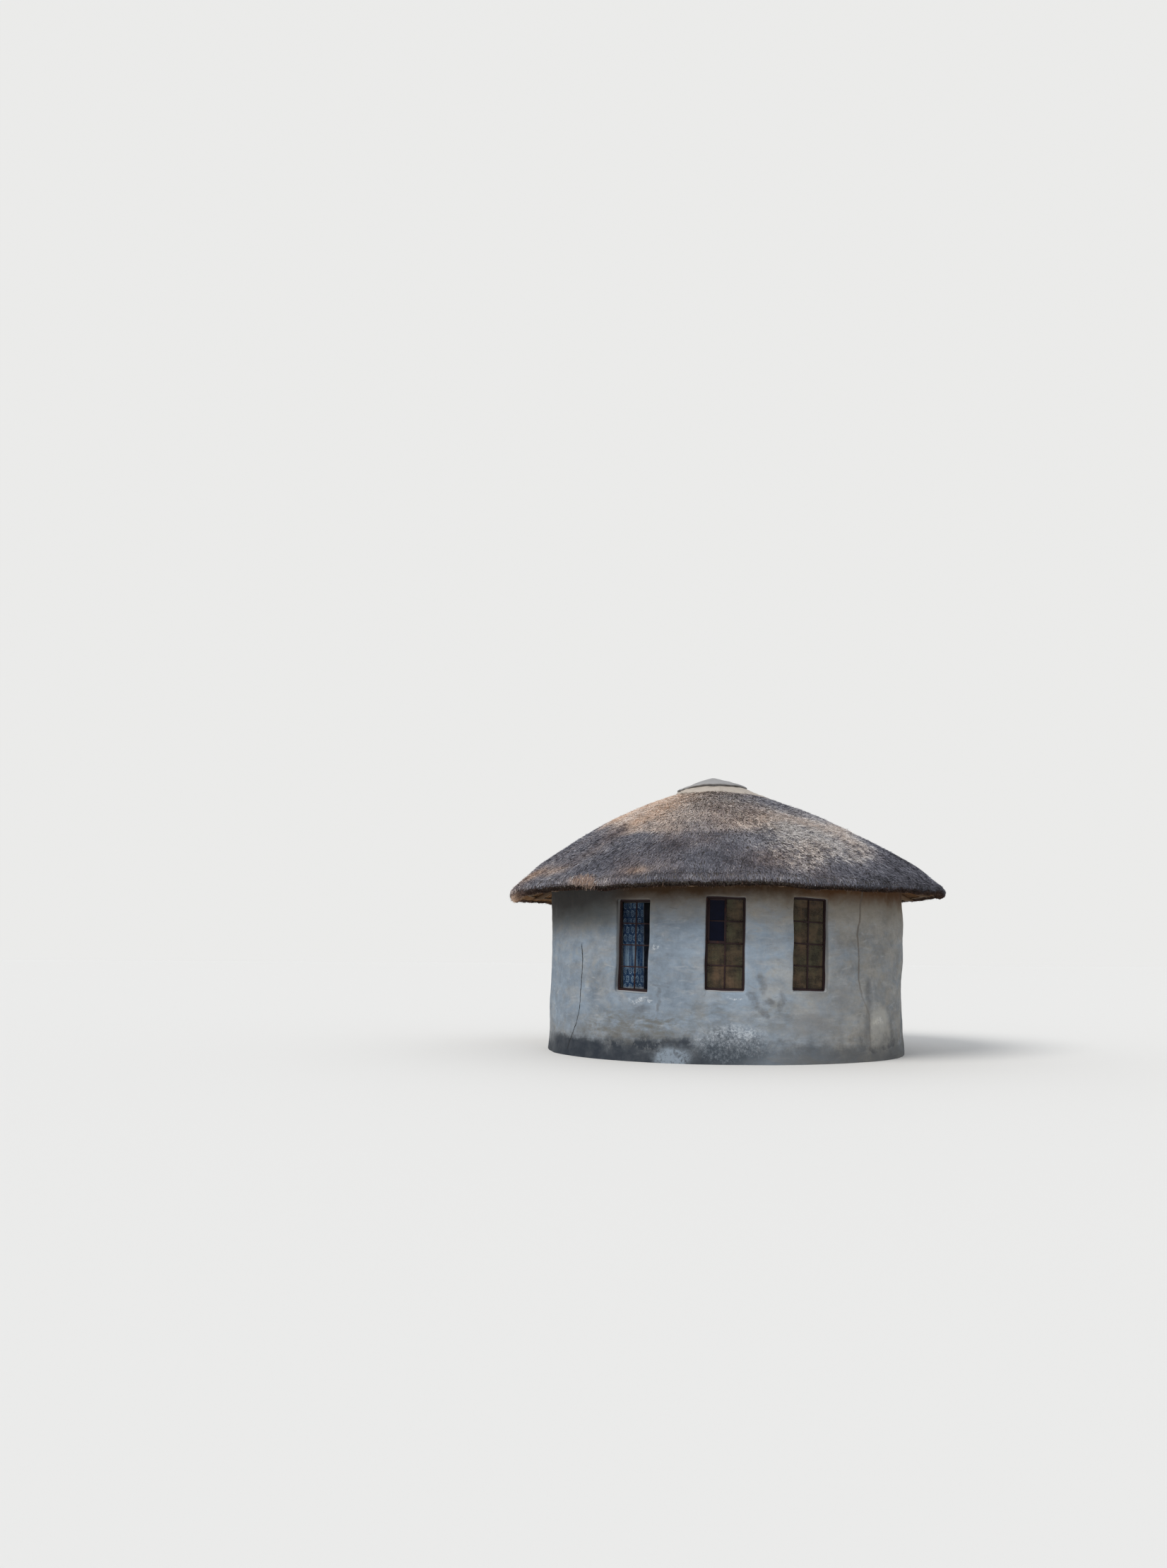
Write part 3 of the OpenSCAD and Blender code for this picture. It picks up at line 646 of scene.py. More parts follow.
def thatch_underside():
    """Straw under the roof, kept from the rain: warm brown with paler stalks, darker inwards, and with
    painted shade along the eave, left out at its left end, which stays bright as if sunlit."""
    f = Finish("thatch_underside", roughness=0.85, specular=0.15)
    x, (_, radius, _) = f.parts()[0], f.polar()
    strokes = f.strokes(240, 1.6)
    stops = (0.28, (0.085, 0.042, 0.018)), (0.55, (0.31, 0.155, 0.058)), (0.8, (0.56, 0.33, 0.14))
    f.colour = f.ramp(strokes, *stops)
    f.lay((0.10, 0.070, 0.045), radius.rise(2.6, 1.2) * 0.7)
    # Painted shade along the eave, left out at its left end as if sunlit there
    f.lay((0.040, 0.025, 0.016), radius.rise(3.08, 3.17) * x.rise(-3.05, -2.6) * 0.9)
    f.dim(0.7 + f.noise(2.2, 4) * 0.6)
    return f.finished(strokes, 0.015, 0.9)


def loose_straw():
    """Straws that take their colour from their own map: lightness across it, warmth up it."""
    f = Finish("loose_straw", roughness=0.88, specular=0.15)
    light, warm = f.on_map()
    # The grey end is bluish: the sky's cast in shade, painted in
    grey = (0.028, 0.027, 0.030), (0.176, 0.181, 0.220), (0.362, 0.364, 0.408), (0.860, 0.835, 0.820)
    brown = (0.036, 0.019, 0.013), (0.235, 0.142, 0.100), (0.510, 0.338, 0.218), (0.930, 0.700, 0.530)
    ends = [f.ramp(light, *zip((0.0, 0.35, 0.65, 1.0), colours)) for colours in (grey, brown)]
    f.colour = f.mix(*ends, warm)
    return f.finished()


def cement(name, light, dark, stain):
    """Weathered cement: light and dark cloudiness, streaks that run down from the peak, and a gritty skin."""
    f = Finish(name, roughness=0.9, specular=0.2)
    cloud, mottle = f.noise(2.6, 4), f.noise(9, 5, 0.6)
    f.colour = f.mix(dark, light, (cloud * 0.8 + mottle * 0.5 - 0.12).clip())
    f.lay(stain, f.strokes(7, 0.8).rise(0.52, 0.74) * 0.5)
    f.lay((0.10, 0.095, 0.085), (f.noise(55, 4, 0.7) * cloud).rise(0.34, 0.42) * 0.55)
    return f.finished(mottle * 0.6 + f.noise(70, 4) * 0.25, 0.012, 0.8)


def pole_wood(name, light, dark):
    """A peeled and weathered pole: grain and drying checks along it, darker knots."""
    f = Finish(name, roughness=0.75, specular=0.2)
    grain = f.strokes(160, 1.2)
    f.colour = f.ramp(grain, (0.25, dark), (0.75, light))
    f.lay(tuple(c * 0.35 for c in dark), f.noise(11, 2).rise(0.68, 0.76) * 0.6)
    f.dim(0.75 + f.noise(1.7, 3) * 0.5)
    return f.finished(grain, 0.006, 0.7)


def rusty_paint(name, paint, rust, wear):
    """Old paint on steel, chalked, with rust coming through."""
    f = Finish(name, roughness=0.7, specular=0.18)
    fine = f.noise(140, 3, 0.6)
    worn = (f.noise(16, 5, 0.7) + fine.swing(0.25)).rise(wear, wear + 0.12)
    f.colour = f.mix(paint, tuple(c * 1.5 for c in paint), f.noise(5, 3))
    f.lay(rust, worn)
    f.set("Roughness", 0.60 + worn * 0.30)
    return f.finished(worn * 0.6 + fine * 0.3, 0.0012, 0.7)


def old_glass(name, clean=None):
    """Thin drawn glass with a brown and olive film, partly dust and algae and partly painted reflections of
    trees, so that the dark room shows through it unevenly. The film hides between least and most of what is
    behind it.
    Clean names a window whose two upper left panes are a deep clear blue-black."""
    least, most = 0.72, 1.05
    f = Finish(name, roughness=0.06, specular=0.06)
    x, _, z = f.parts()
    bands = f.noise(5.5, 4, 0.60, (1, 1, 1.7))
    streak = f.noise(15, 3, 0.6, (1, 1, 0.22))
    # The film's colours are partly dust and algae and partly painted reflections
    film = f.mix((0.138, 0.090, 0.056), (0.076, 0.071, 0.043), f.noise(2.6, 4, 0.5).rise(0.34, 0.70))
    f.colour = f.mix((0.028, 0.024, 0.019), film, (bands * 0.75 + streak * 0.50 - 0.12).rise(0.24, 0.80))
    alpha = (least + bands * (most - least)).clip()
    if clean:
        opening = WINDOWS[clean]
        beside = x - math.sin(opening.bearing) * GLASS_FRONT - math.tan(opening.lean) * (z - MID_Z)
        clear = beside.rise(0.004, -0.004) * z.rise(MID_Z - 0.004, MID_Z + 0.004)
        f.lay(f.tint(f.joined(0.0032, 0.0044, 0.0140), 0.4 + bands * 1.3), clear)
        alpha = alpha + clear * 0.30
    f.set("Alpha", alpha.clip())
    return f.finished(f.noise(2.2, 2), 0.004, 0.25)


def dusty_glass(name, tone, share):
    """Glass with a thin even film, through which the curtain shows."""
    f = Finish(name, roughness=0.06, specular=0.06)
    f.colour = f.tint(f.joined(*tone), 0.6 + f.noise(6, 4) * 0.8)
    f.set("Alpha", f.noise(3.4, 4, 0.6) * share)
    return f.finished(f.noise(2.2, 2), 0.004, 0.25)


def lace_cloth():
    """Blue cotton with a white lace net over it: rows of ringed flowers above and below a plain band, pale
    upright streaks in the plain band as painted highlights of its folds, a pale hem at the bottom and a
    straw-coloured edge, all on the cloth's own map."""
    f = Finish("lace_cloth", roughness=0.85, specular=0.15)
    u, v = f.on_map()
    rows = v * 11.0
    across = ((u * 4.4 + rows.math("FLOOR") * 0.5).math("FRACT") - 0.5) * 0.95
    up = rows.math("FRACT") - 0.5
    reach = (across * across * 1.7 + up * up).math("SQRT") + f.noise(30, 4, 0.7).swing(0.26)
    petals = (up.math("ARCTAN2", across) * 6.0).math("SINE") * 0.028
    ring = (reach + petals - 0.36).size().rise(0.085, 0.03)
    inner = (reach - 0.15).size().rise(0.06, 0.02)
    worked = v.rise(0.50, 0.54).most(v.rise(0.27, 0.23))
    net = f.noise(70, 3).rise(0.48, 0.62) * 0.22
    # Pale upright streaks in the plain band: painted highlights of the folds
    fold_highlights = f.noise(4, 3, stretch=(3, 3, 0.3)).rise(0.42, 0.66) * (1 - worked) * 0.75
    worn = f.noise(9, 4, 0.6).rise(0.34, 0.58) * 0.75 + 0.15
    white = (ring.most(inner * 0.8) * worked * worn + net + fold_highlights).clip()
    f.colour = f.mix((0.012, 0.060, 0.165), (0.41, 0.59, 0.75), white)
    f.lay((0.62, 0.66, 0.70), v.rise(0.055, 0.045) * 0.6)
    f.lay((0.42, 0.31, 0.19), u.rise(0.955, 0.975) * 0.8)
    return f.finished(f.noise(350, 2), 0.0006, 0.6)


def plank_wood():
    """Boards painted long ago and bleached since, with the grain showing and running upright."""
    f = Finish("plank_wood", roughness=0.75, specular=0.2)
    grain = f.noise(9, 5, 0.65, (9, 9, 0.35))
    bare = f.noise(3.5, 5, 0.7, (2, 2, 0.6))
    f.colour = f.mix((0.085, 0.048, 0.030), (0.16, 0.095, 0.060), grain)
    f.lay((0.26, 0.21, 0.165), (bare + grain.swing(0.5)).rise(0.5, 0.66) * 0.75)
    f.lay((0.06, 0.045, 0.035), f.parts()[2].rise(0.55, 0.2) * 0.6)
    return f.finished(grain, 0.003, 0.8)


def swept_cement():
    """The room's swept cement floor."""
    f = Finish("swept_cement", roughness=0.8, specular=0.25)
    f.colour = f.mix((0.17, 0.155, 0.14), (0.27, 0.25, 0.225), f.noise(2.2, 5, 0.6))
    return f.finished(f.noise(30, 4), 0.004, 0.5)


# The plaster


def outer_face(bearing, z):
    """The wall's face: a cylinder that spreads at its foot, with the slow swells of a hand-laid wall and the
    smaller ones of the trowel."""
    bearing, z = np.broadcast_arrays(bearing, z)
    flat = on_circle(WALL_R, bearing, z)
    foot = FOOT_SPREAD * (1 - 0.7 * np.sin(bearing)) * np.clip(1 - z / FOOT_H, 0, 1) ** 1.5
    heights, bulges = np.array(RIGHT_SIDE).T
    belly = sum(np.interp(z + step, heights, bulges) for step in (-0.08, -0.04, 0, 0.04, 0.08)) / 5
    belly = belly * hump(bearing, math.radians(82), math.radians(20))
    swell = 0.0095 * drift(flat, 1.5, 11) + 0.0035 * drift(flat, 0.45, 12) + 0.0011 * drift(flat, 0.14, 13)
    return on_circle(WALL_R + foot + belly + swell - 0.002, bearing, z)


def inner_face(bearing, z):
    """The room's side of the wall, with slighter swells."""
    bearing, z = np.broadcast_arrays(bearing, z)
    return on_circle(INNER_R + 0.004 * drift(on_circle(INNER_R, bearing, z), 1.1, 21), bearing, z)


def stepped(marks, step):
    """Values from the first mark to the last that pass through every mark, about a step apart."""
    runs = [np.linspace(a, b, max(2, round((b - a) / step) + 1))[:-1] for a, b in zip(marks, marks[1:])]
    return np.append(np.concatenate(runs), marks[-1])


def plaster_face(face, radius, step, foot, top, margin, outside):
    """One face of the wall with its openings. The face is a grid of bearings and heights with an oblong left
    out round each opening. A collar fills it: from the oblong in to the opening's rounded outline, over a
    soft arris, along the reveal to just inside the frame, and at the sill a little down."""
    shape = Shape()
    # The grid's two ends meet behind, clear of every opening
    start = -math.pi + 0.35
    edges, levels, oblongs = [start, start + 2 * math.pi], {foot, top}, []
    for o in OPENINGS:
        centre = start + (o.bearing - start) % (2 * math.pi)
        half = math.asin((o.width / 2 + margin) / radius)
        sides, ends = [centre - half, centre + half], [o.foot - margin, o.head + margin]
        edges += sides
        levels |= {round(end, 6) for end in ends}
        oblongs.append((o, centre, sides, ends))
    bearings = stepped(sorted(edges), step / radius)
    heights = stepped(sorted(levels), step)
    keep = np.ones((len(heights) - 1, len(bearings) - 1), bool)
    # Less than the grid's step, so that rounding moves no side to the next line
    nudge = 1e-5
    for o, centre, sides, ends in oblongs:
        i0, i1 = np.searchsorted(bearings, np.array(sides) - nudge)
        j0, j1 = np.searchsorted(heights, np.array(ends) - nudge)
        keep[j0:j1, i0:i1] = False
        across = np.r_[i0:i1, np.full(j1 - j0, i1), i1:i0:-1, np.full(j1 - j0, i0)]
        up = np.r_[np.full(i1 - i0, j0), j0:j1, np.full(i1 - i0, j1), j1:j0:-1]
        rim = np.stack([radius * np.sin(bearings[across] - centre), heights[up]], -1)
        shape.grid(collar(o, rim, face, radius, outside), wrap=True, flip=not outside)
    return shape.grid(face(bearings[None, :], heights[:, None]), keep=keep, flip=not outside)


def collar(o, rim, face, radius, outside):
    """Rows of points from an oblong rim on the wall's face into an opening. The opening's outline is its
    oblong with round corners, which each rim point meets at its nearest place. Each row then moves a share of
    the way to the outline, round the arris's quarter circle, and straight into the wall."""
    lap, tuck, lip = 0.005, 0.012, 0.008
    corner, arris = 0.022, 0.026 if outside else 0.012
    half, middle = o.width / 2 - lap, (o.foot + o.head) / 2
    low, high = o.foot + lap, o.head - lap

    def lean(p):
        """Local places turned by the opening's lean."""
        c, s = math.cos(o.lean), math.sin(o.lean)
        return np.stack([c * p[:, 0] + s * p[:, 1], c * p[:, 1] - s * p[:, 0]], -1)

    def place(p):
        """Points of the wall's face in front of local places."""
        return face(o.bearing + np.arcsin(np.clip(p[:, 0] / radius, -1, 1)), p[:, 1])

    held = np.clip(rim, [-half + corner, low + corner], [half - corner, high - corner])
    out = unit(rim - held)
    wobble = 0.0022 * drift(on_circle(WALL_R, o.bearing + rim[:, 0] / WALL_R, rim[:, 1]), 0.40, 31)
    edge = held + out * (corner + wobble * outside)[:, None]
    edge, out = lean(edge - [0, middle]) + [0, middle], lean(out)
    inward = on_circle(1.0, o.bearing, 0.0) * (-1 if outside else 1)
    depth = tuck + (-o.front if outside else o.back) - place(edge) @ inward
    below = np.clip(-out[:, 1], 0, 1)
    fall = math.tan(SILL_SLOPE) * depth * below * outside
    edge[:, 1] -= fall
    rows = [place(rim * (1 - t) + (edge + out * arris) * t) for t in (0, 0.35, 0.7, 1)]
    for turn in np.radians([25, 50, 72, 90]):
        flat = place(edge + out * (arris * (1 - math.sin(turn))))
        rows.append(flat + inward * (arris * (1 - math.cos(turn))))
    for share in (0.3, 0.55, 0.8, 1.0):
        row = place(edge) + inward * (arris + (depth - arris) * share)[:, None]
        row[:, 2] += fall * share
        rows.append(row)
    rows.append(rows[-1] - np.outer(below, [0, 0, lip]))
    return np.stack(rows)


# The roof


def all_round(count):
    """Bearings at even steps round the hut."""
    return np.linspace(-math.pi, math.pi, count, endpoint=False)


def thatch_drop(r):
    """How far the slope lies below the crown: an even pitch, and a droop that grows as the radius cubed."""
    return math.tan(CROWN_PITCH) * r + EAVE_DROP * (r / EAVE_R) ** 3


def thatch_z(r):
    """Height of the thatch's outside: a cone under the cap, then a slope that steepens towards the eave."""
    seat_z = CROWN_Z - thatch_drop(SEAT_R)
    return np.where(r < SEAT_R, seat_z + math.tan(SEAT_PITCH) * (SEAT_R - r), CROWN_Z - thatch_drop(r))


def flank(bearing, r):
    """How far the real thatch swells above the even slope: high on the left, low on the right, with a slight
    hollow above that."""
    left, right = ease(-np.sin(bearing), 0.2, 0.9), ease(np.sin(bearing), 0.2, 0.9)
    swell = 0.034 * left * hump(r, 1.3, 0.9) + 0.028 * right * hump(r, 2.7, 0.38)
    return swell - 0.014 * right * hump(r, 1.9, 0.35)


def roof_point(r, bearing, z):
    """A point of the leaning roof."""
    point = on_circle(r, bearing, z)
    point[..., 0] += LEAN * (point[..., 2] - PLATE_TOP)
    return point


def roof_outline():
    """The thatch's outline from the cap down the slope, round the lip, down the cut and in along the
    underside, as (radius, height) points with their lengths along it, and the lengths where the slope, the
    lip and the cut end."""
    r = np.linspace(SEAT_R - 0.04, LIP_TOP[0], 80)
    slope = np.stack([r, thatch_z(r)], -1)
    turn = np.linspace(math.atan2(LIP_TOP[1] - LIP[1], LIP_TOP[0] - LIP[0]), -LIP_TURN, 12)
    lip = np.array(LIP) + LIP_ROUND * np.stack([np.cos(turn), np.sin(turn)], -1)
    hub = HUB_CLEAR_R, SOFFIT[1] + math.tan(UNDER_PITCH) * (SOFFIT[0] - HUB_CLEAR_R)
    cut, under = np.linspace(lip[-1], SOFFIT, 7), np.linspace(SOFFIT, hub, 60)
    points = np.concatenate([slope, lip[1:], cut[1:], under[1:]])
    length = np.r_[0, np.cumsum(np.linalg.norm(np.diff(points, axis=0), axis=1))]
    ends = np.cumsum([len(part) - 1 for part in (slope, lip, cut)])
    return points, length, length[ends]


OUTLINE, ALONG, (SLOPE_END, LIP_END, CUT_END) = roof_outline()
HEADING = unit(np.gradient(OUTLINE, ALONG, axis=0))


def sag(bearing, r):
    """How far the eave hangs below its even line: a droop at the left, a longer one on the right of the front
    and small unevenness all round."""
    left = 0.045 * hump(bearing, math.radians(-84), math.radians(20))
    right = 0.030 * hump(bearing, math.radians(46), math.radians(26))
    rim = on_circle(EAVE_R, bearing, 0)
    uneven = 0.008 * drift(rim, 1.2, 41) + 0.005 * drift(rim, 0.35, 42)
    return (left + right + uneven) * ease(r, 2.75, 3.22)


def roof_frame(bearing, s):
    """At a bearing and a length along the outline: the point, the way sideways and the way outwards."""
    bearing = (bearing + math.pi) % (2 * math.pi) - math.pi
    r, z, dr, dz = (np.interp(s, ALONG, column) for column in (*OUTLINE.T, *HEADING.T))
    upper = 1 - ease(s, SLOPE_END - 0.3, SLOPE_END)
    # The lip is thinner at its right end
    slim = 0.022 * ease(np.sin(bearing), 0.5, 0.95) * ease(r, 2.95, 3.2)
    slim = slim * (1 - 2 * ease(s, SLOPE_END - 0.02, LIP_END))
    point = roof_point(r, bearing, z - sag(bearing, r) + flank(bearing, r) * upper - slim)
    swell = drift(point, 1.6, 43) * 0.007 + drift(point, 0.5, 44) * 0.004
    down = unit(roof_point(dr, bearing, dz + PLATE_TOP) - [0, 0, PLATE_TOP])
    side = on_circle(1.0, bearing + math.pi / 2, 0.0)
    out = unit(np.cross(down, side))
    return point + out * (swell * upper)[..., None], side, out


def roof_sheet(s):
    """Rows of points round the roof at lengths along the outline, and the ways out of it."""
    point, _, out = roof_frame(*np.broadcast_arrays(all_round(240)[None, :], s[:, None]))
    return point, out


def thatch_bed():
    """The body of the thatch under its loose straws: the outline carried round the leaning roof, drawn in a
    little along its normal."""
    point, out = roof_sheet(np.r_[np.linspace(0, SLOPE_END, 48), np.linspace(SLOPE_END, CUT_END, 10)[1:]])
    return Shape().grid(point - out * 0.012, wrap=True, flip=True)


def thatch_ceiling():
    """The underside, from the foot of the cut up to the hub."""
    point, out = roof_sheet(np.r_[CUT_END - 0.02, np.linspace(CUT_END, ALONG[-1], 40)])
    rough = 0.004 * drift(point, 0.09, 45)
    return Shape().grid(point + out * (rough - 0.003)[..., None], wrap=True, flip=True)


def roughness_of(bearing, s):
    """1 where the weathered patch on the right of the front is strongest, where straws stand loose and pale,
    partly bleached and partly painted sunlight.
    It starts faintly under the skirt, has its left edge along the fall line, and is narrower further down."""
    reach = np.interp(bearing, *np.array(PALE_REACH).T)
    limit = 1.12 - 0.18 * ease(s, 1.5, 2.5)
    across = ease(bearing, 0.02, 0.20) * ease(bearing, limit + 0.16, limit - 0.12)
    strength = 0.20 + 0.80 * ease(s, 1.0, 2.0) * ease(bearing, 0.15, 0.45)
    return strength * across * ease(s, 0.25, 0.75) * ease(s, reach + 0.15, reach - 0.25)


def tones(point, bearing, s, draw):
    """Lightness and warmth of straws: cloudy patches, runs down the slope, lighter and browner on the upper
    left and a little lighter high up as painted sunlight, darker and greyer low and on the right as painted
    shade, a dark lip as painted shade, pale in the rough patch partly as bleached straw and partly as painted
    sunlight, fresh straw at the eave's left end lit by painted sunlight, painted sun dapples low on the left,
    and a share of odd pale and dark straws."""
    n = len(s)
    patches = 0.040 * drift(point, 0.8, 51) + 0.030 * drift(point, 0.24, 52)
    runs = 0.030 * drift(on_circle(3.0, bearing, 0.4 * s), 0.16, 53)
    rough = roughness_of(bearing, s)
    # left: the upper left, lighter and browner as painted sunlight, ending at bound, the painted edge of the
    # shade
    bound = 1.55 + 0.45 * ease(bearing, -1.2, -0.1) + 0.10 * drift(point, 0.5, 57)
    left = hump(bearing, -0.80, 0.92) * ease(s, bound + 0.35, bound - 0.25)
    # high is a little lighter and low darker and greyer, most on the right: painted sunlight and painted
    # shade
    high, low = ease(s, 2.0, 0.8), ease(s, 1.7, 2.9)
    right = ease(np.sin(bearing), 0.05, 0.7)
    clumps = 0.13 * drift(point, 0.12, 55) + 0.06 * drift(point, 0.38, 56) + 0.16 * drift(point, 0.065, 58)
    # The rough patch is pale partly as bleached straw and partly as painted sunlight
    light = 0.46 + (patches + runs) * (1 - 0.5 * left) + (0.64 + clumps) * rough + 0.50 * left + 0.04 * high
    light += (0.08 * ease(-np.sin(bearing), 0.0, 0.5) - 0.11 - 0.10 * right) * low
    # The eave's rounded lip is darker and redder as painted shade; the left end's fresh straw is paler and
    # warmer, partly fresh and partly painted sunlight
    lip = ease(s, SLOPE_END + 0.085, SLOPE_END + 0.125)
    fresh_and_sunlit = hump(bearing, -1.30, 0.17) * ease(s, SLOPE_END + 0.02, SLOPE_END + 0.09)
    light += 0.55 * fresh_and_sunlit - 0.34 * lip
    light += draw.normal(0, 0.085, n) * (1 - 0.5 * left)
    odd = draw.random(n)
    light += 0.24 * (odd > 0.95) - 0.18 * (odd < 0.10 - 0.07 * left)
    warm = 0.14 + 0.44 * left + 0.16 * rough - 0.06 * low - 0.15 * right + 0.22 * lip + 0.4 * fresh_and_sunlit
    warm += 0.09 * drift(point, 0.9, 54) + draw.normal(0, 0.08, n)
    # Lighter, browner patches low on the left: painted sun dapples
    for where, reach, wide, long in SUN_DAPPLE_PATCHES:
        patch = hump(bearing, where, wide) * hump(s, reach, long)
        warm += 0.50 * patch
        light += 0.22 * patch
    return light, warm


def rolled(side, out, roll, width):
    """Across vectors of straws that are rolled about their length."""
    return (side * np.cos(roll)[:, None] + out * np.sin(roll)[:, None]) * width[:, None]


def cut_start(bearing):
    """The length along the outline where the cut's straws begin, lowest on the right. Combed ones end just
    below it."""
    return SLOPE_END + 0.085 + 0.030 * ease(np.sin(bearing), 0.0, 0.6)


def combed_straws(first, last, count, seed):
    """Straws between two bearings, spread evenly over the slope and round the lip. Each starts sunk in the
    bed and ends a little above it further down, a few degrees off the fall line, and is rolled about its
    length. They stop a little below the lip's outermost line, lowest on the right."""
    draw = np.random.default_rng(seed)
    bearing = draw.uniform(first, last, count)
    near = 0.275 + 0.085 * ease(np.sin(bearing), 0.1, 0.9)
    far = cut_start(bearing) + 0.027 + draw.normal(0, 0.006, count)
    s = np.sqrt(near**2 + (far**2 - near**2) * draw.random(count))
    rough = roughness_of(bearing, s)
    length = draw.uniform(0.040, 0.095, count) * (1 - 0.2 * rough)
    length *= np.where(draw.random(count) > 0.95, 1.5, 1)
    length *= 1 - 0.45 * ease(s, SLOPE_END - 0.15, SLOPE_END)
    veer = draw.normal(0, 0.17, count) * (1 + 1.6 * rough)
    root, side, out = roof_frame(bearing, s)
    aside = length * np.sin(veer) / np.hypot(root[:, 0], root[:, 1])
    tip, _, tip_out = roof_frame(bearing + aside, np.minimum(s + length * np.cos(veer), far))
    lift = (draw.gamma(2.2, 0.0028, count) - 0.001) * (1 + 1.3 * rough)
    root = root - out * draw.uniform(0.004, 0.014, count)[:, None]
    tip = tip + tip_out * lift[:, None]
    across = rolled(side, out, draw.uniform(-0.75, 0.75, count), draw.uniform(0.0038, 0.0078, count))
    return ribbons(root, tip, across, *tones(root, bearing, s, draw))


def cut_straws(count, seed):
    """Straw ends in the eave's cut: each comes out of the roof along the fall line and stops near the cut.
    They are painted dark as shade and brown with soot, and at the left end, where they hang lowest, fresher
    and yellow, partly as painted sunlight."""
    draw = np.random.default_rng(seed)
    bearing = draw.uniform(-math.pi, math.pi, count)
    start = cut_start(bearing)
    s = start + (CUT_END + 0.010 - start) * draw.random(count)
    end, side, _ = roof_frame(bearing, s)
    low = (s - start) / (CUT_END - start)
    pitch = np.radians(40 - 14 * low + draw.normal(0, 7, count))
    way = on_circle(np.cos(pitch), bearing + draw.normal(0, 0.13, count), -np.sin(pitch))
    proud = draw.gamma(2.0, 0.003, count) + 0.010 * (draw.random(count) > 0.94)
    proud += 0.016 * np.clip(drift(end, 0.25, 61) - 0.9, 0, 1.2)
    left = hump(bearing, -1.32, 0.18)
    proud += left * low * draw.uniform(0.0, 0.07, count)
    root = end - way * draw.uniform(0.03, 0.06, count)[:, None]
    roll = draw.uniform(0, math.pi, count)
    across = rolled(side, np.cross(way, side), roll, draw.uniform(0.005, 0.009, count))
    # Painted shade keeps them dark; the left end is lit up, partly fresh straw and partly painted sunlight
    light = 0.03 + 0.04 * drift(end, 0.3, 62) + 0.70 * left * ease(low, 0.0, 0.4)
    light += draw.normal(0, 0.08, count)
    warm = 0.62 + 0.30 * low + draw.normal(0, 0.10, count)
    return ribbons(root, end + way * proud[:, None], across, light, warm)


def hanging_straws(count, seed):
    """Loose straws that hang from the eave: thick tufts at a few places, which start higher on the lip, and a
    thin scatter along the inner edge between them."""
    draw = np.random.default_rng(seed)
    places, reaches = np.array(TUFTS).T
    pick = draw.integers(0, len(TUFTS), count)
    tufted = draw.random(count) > 0.62
    near = np.radians(places[pick]) + draw.normal(0, 0.014, count)
    bearing = np.where(tufted, near, draw.uniform(-math.pi, math.pi, count))
    on_lip = SLOPE_END + draw.normal(0.06, 0.05, count)
    s = np.where(tufted, on_lip, CUT_END + draw.normal(-0.02, 0.03, count))
    start, side, out = roof_frame(bearing, s)
    pitch = np.radians(np.where(tufted, draw.normal(62, 14, count), draw.normal(50, 16, count)))
    way = on_circle(np.cos(pitch), bearing + draw.normal(0, 0.35, count), -np.sin(pitch))
    length = draw.uniform(0.3, 1.1, count) * np.where(tufted, reaches[pick], 0.032)
    across = side * draw.uniform(0.003, 0.006, count)[:, None]
    light = np.clip(draw.normal(0.46, 0.17, count) - 0.34 * ~tufted, 0.05, 0.95)
    warm = np.clip(draw.normal(0.72, 0.15, count), 0.05, 0.98)
    start = start + out * (0.006 * tufted)[:, None]
    return ribbons(start - way * 0.02, start + way * length[:, None], across, light, warm)


# The cement cap


def columns(section):
    """The radii and the heights of a section, as two columns."""
    return np.hsplit(np.array(section), 2)


def cap_shell():
    """The ridge cap: a shallow cone that rounds over at its rim, tucks under it and drops to the neck. Its
    radius and height wander a little with the bearing, and on the left it spreads wider and lower."""
    (r, z), bearing = columns(CAP), all_round(120)[None, :]
    spot = on_circle(r, bearing, 0)
    at_rim = ease(r, 0.25, 0.48)
    left = ease(-np.sin(bearing), 0.1, 1.0) * at_rim
    uneven = 0.014 * drift(spot, 0.55, 71) + 0.006 * drift(spot, 0.14, 72)
    z = z + 0.005 * drift(spot, 0.45, 73) * at_rim + 0.0022 * drift(spot, 0.12, 74) - 0.036 * left
    return Shape().grid(roof_point(r * (1 + uneven * at_rim + 0.13 * left), bearing, z), wrap=True, flip=True)


def over(x, y):
    """Height of the thatch above a point of the plan, found by a few turns round the leaning axis."""
    z = np.full(np.shape(x), 3.95)
    for _ in range(4):
        along = x - LEAN * (z - PLATE_TOP)
        r = np.hypot(along, y)
        z = thatch_z(r) + flank(np.arctan2(along, -y), r)
    return z


def skirt_shell():
    """The mortar skirt: it starts at the cap's neck, follows the thatch outwards, thins towards its ragged
    edge and turns down into the straw there."""
    part = np.r_[np.linspace(0, 1, 16), 1.02, 1.03]
    bearing = all_round(160)
    neck = roof_point(SEAT_R - 0.004, bearing, CROWN_Z - thatch_drop(SEAT_R))[:, :2]
    rim = on_circle(1.0, bearing, 0)
    right = 0.070 * ease(np.sin(bearing), 0.1, 0.9)
    reach = SKIRT_R - 0.012 + right + 0.018 * drift(rim, 0.9, 75) + 0.012 * drift(rim, 0.22, 76)
    edge = rim[:, :2] * reach[:, None]
    plan = neck[None] + part[:, None, None] * (edge - neck)[None]
    lumps = 0.0035 * drift(np.dstack([plan, plan[..., :1] * 0]), 0.16, 77)
    thick = 0.036 - 0.024 * part - 0.030 * ease(part, 0.97, 1.03)
    z = over(plan[..., 0], plan[..., 1]) + thick[:, None] + lumps * (part < 1)[:, None]
    return Shape().grid(np.dstack([plan, z]), wrap=True, flip=True)


# Windows, curtain and door


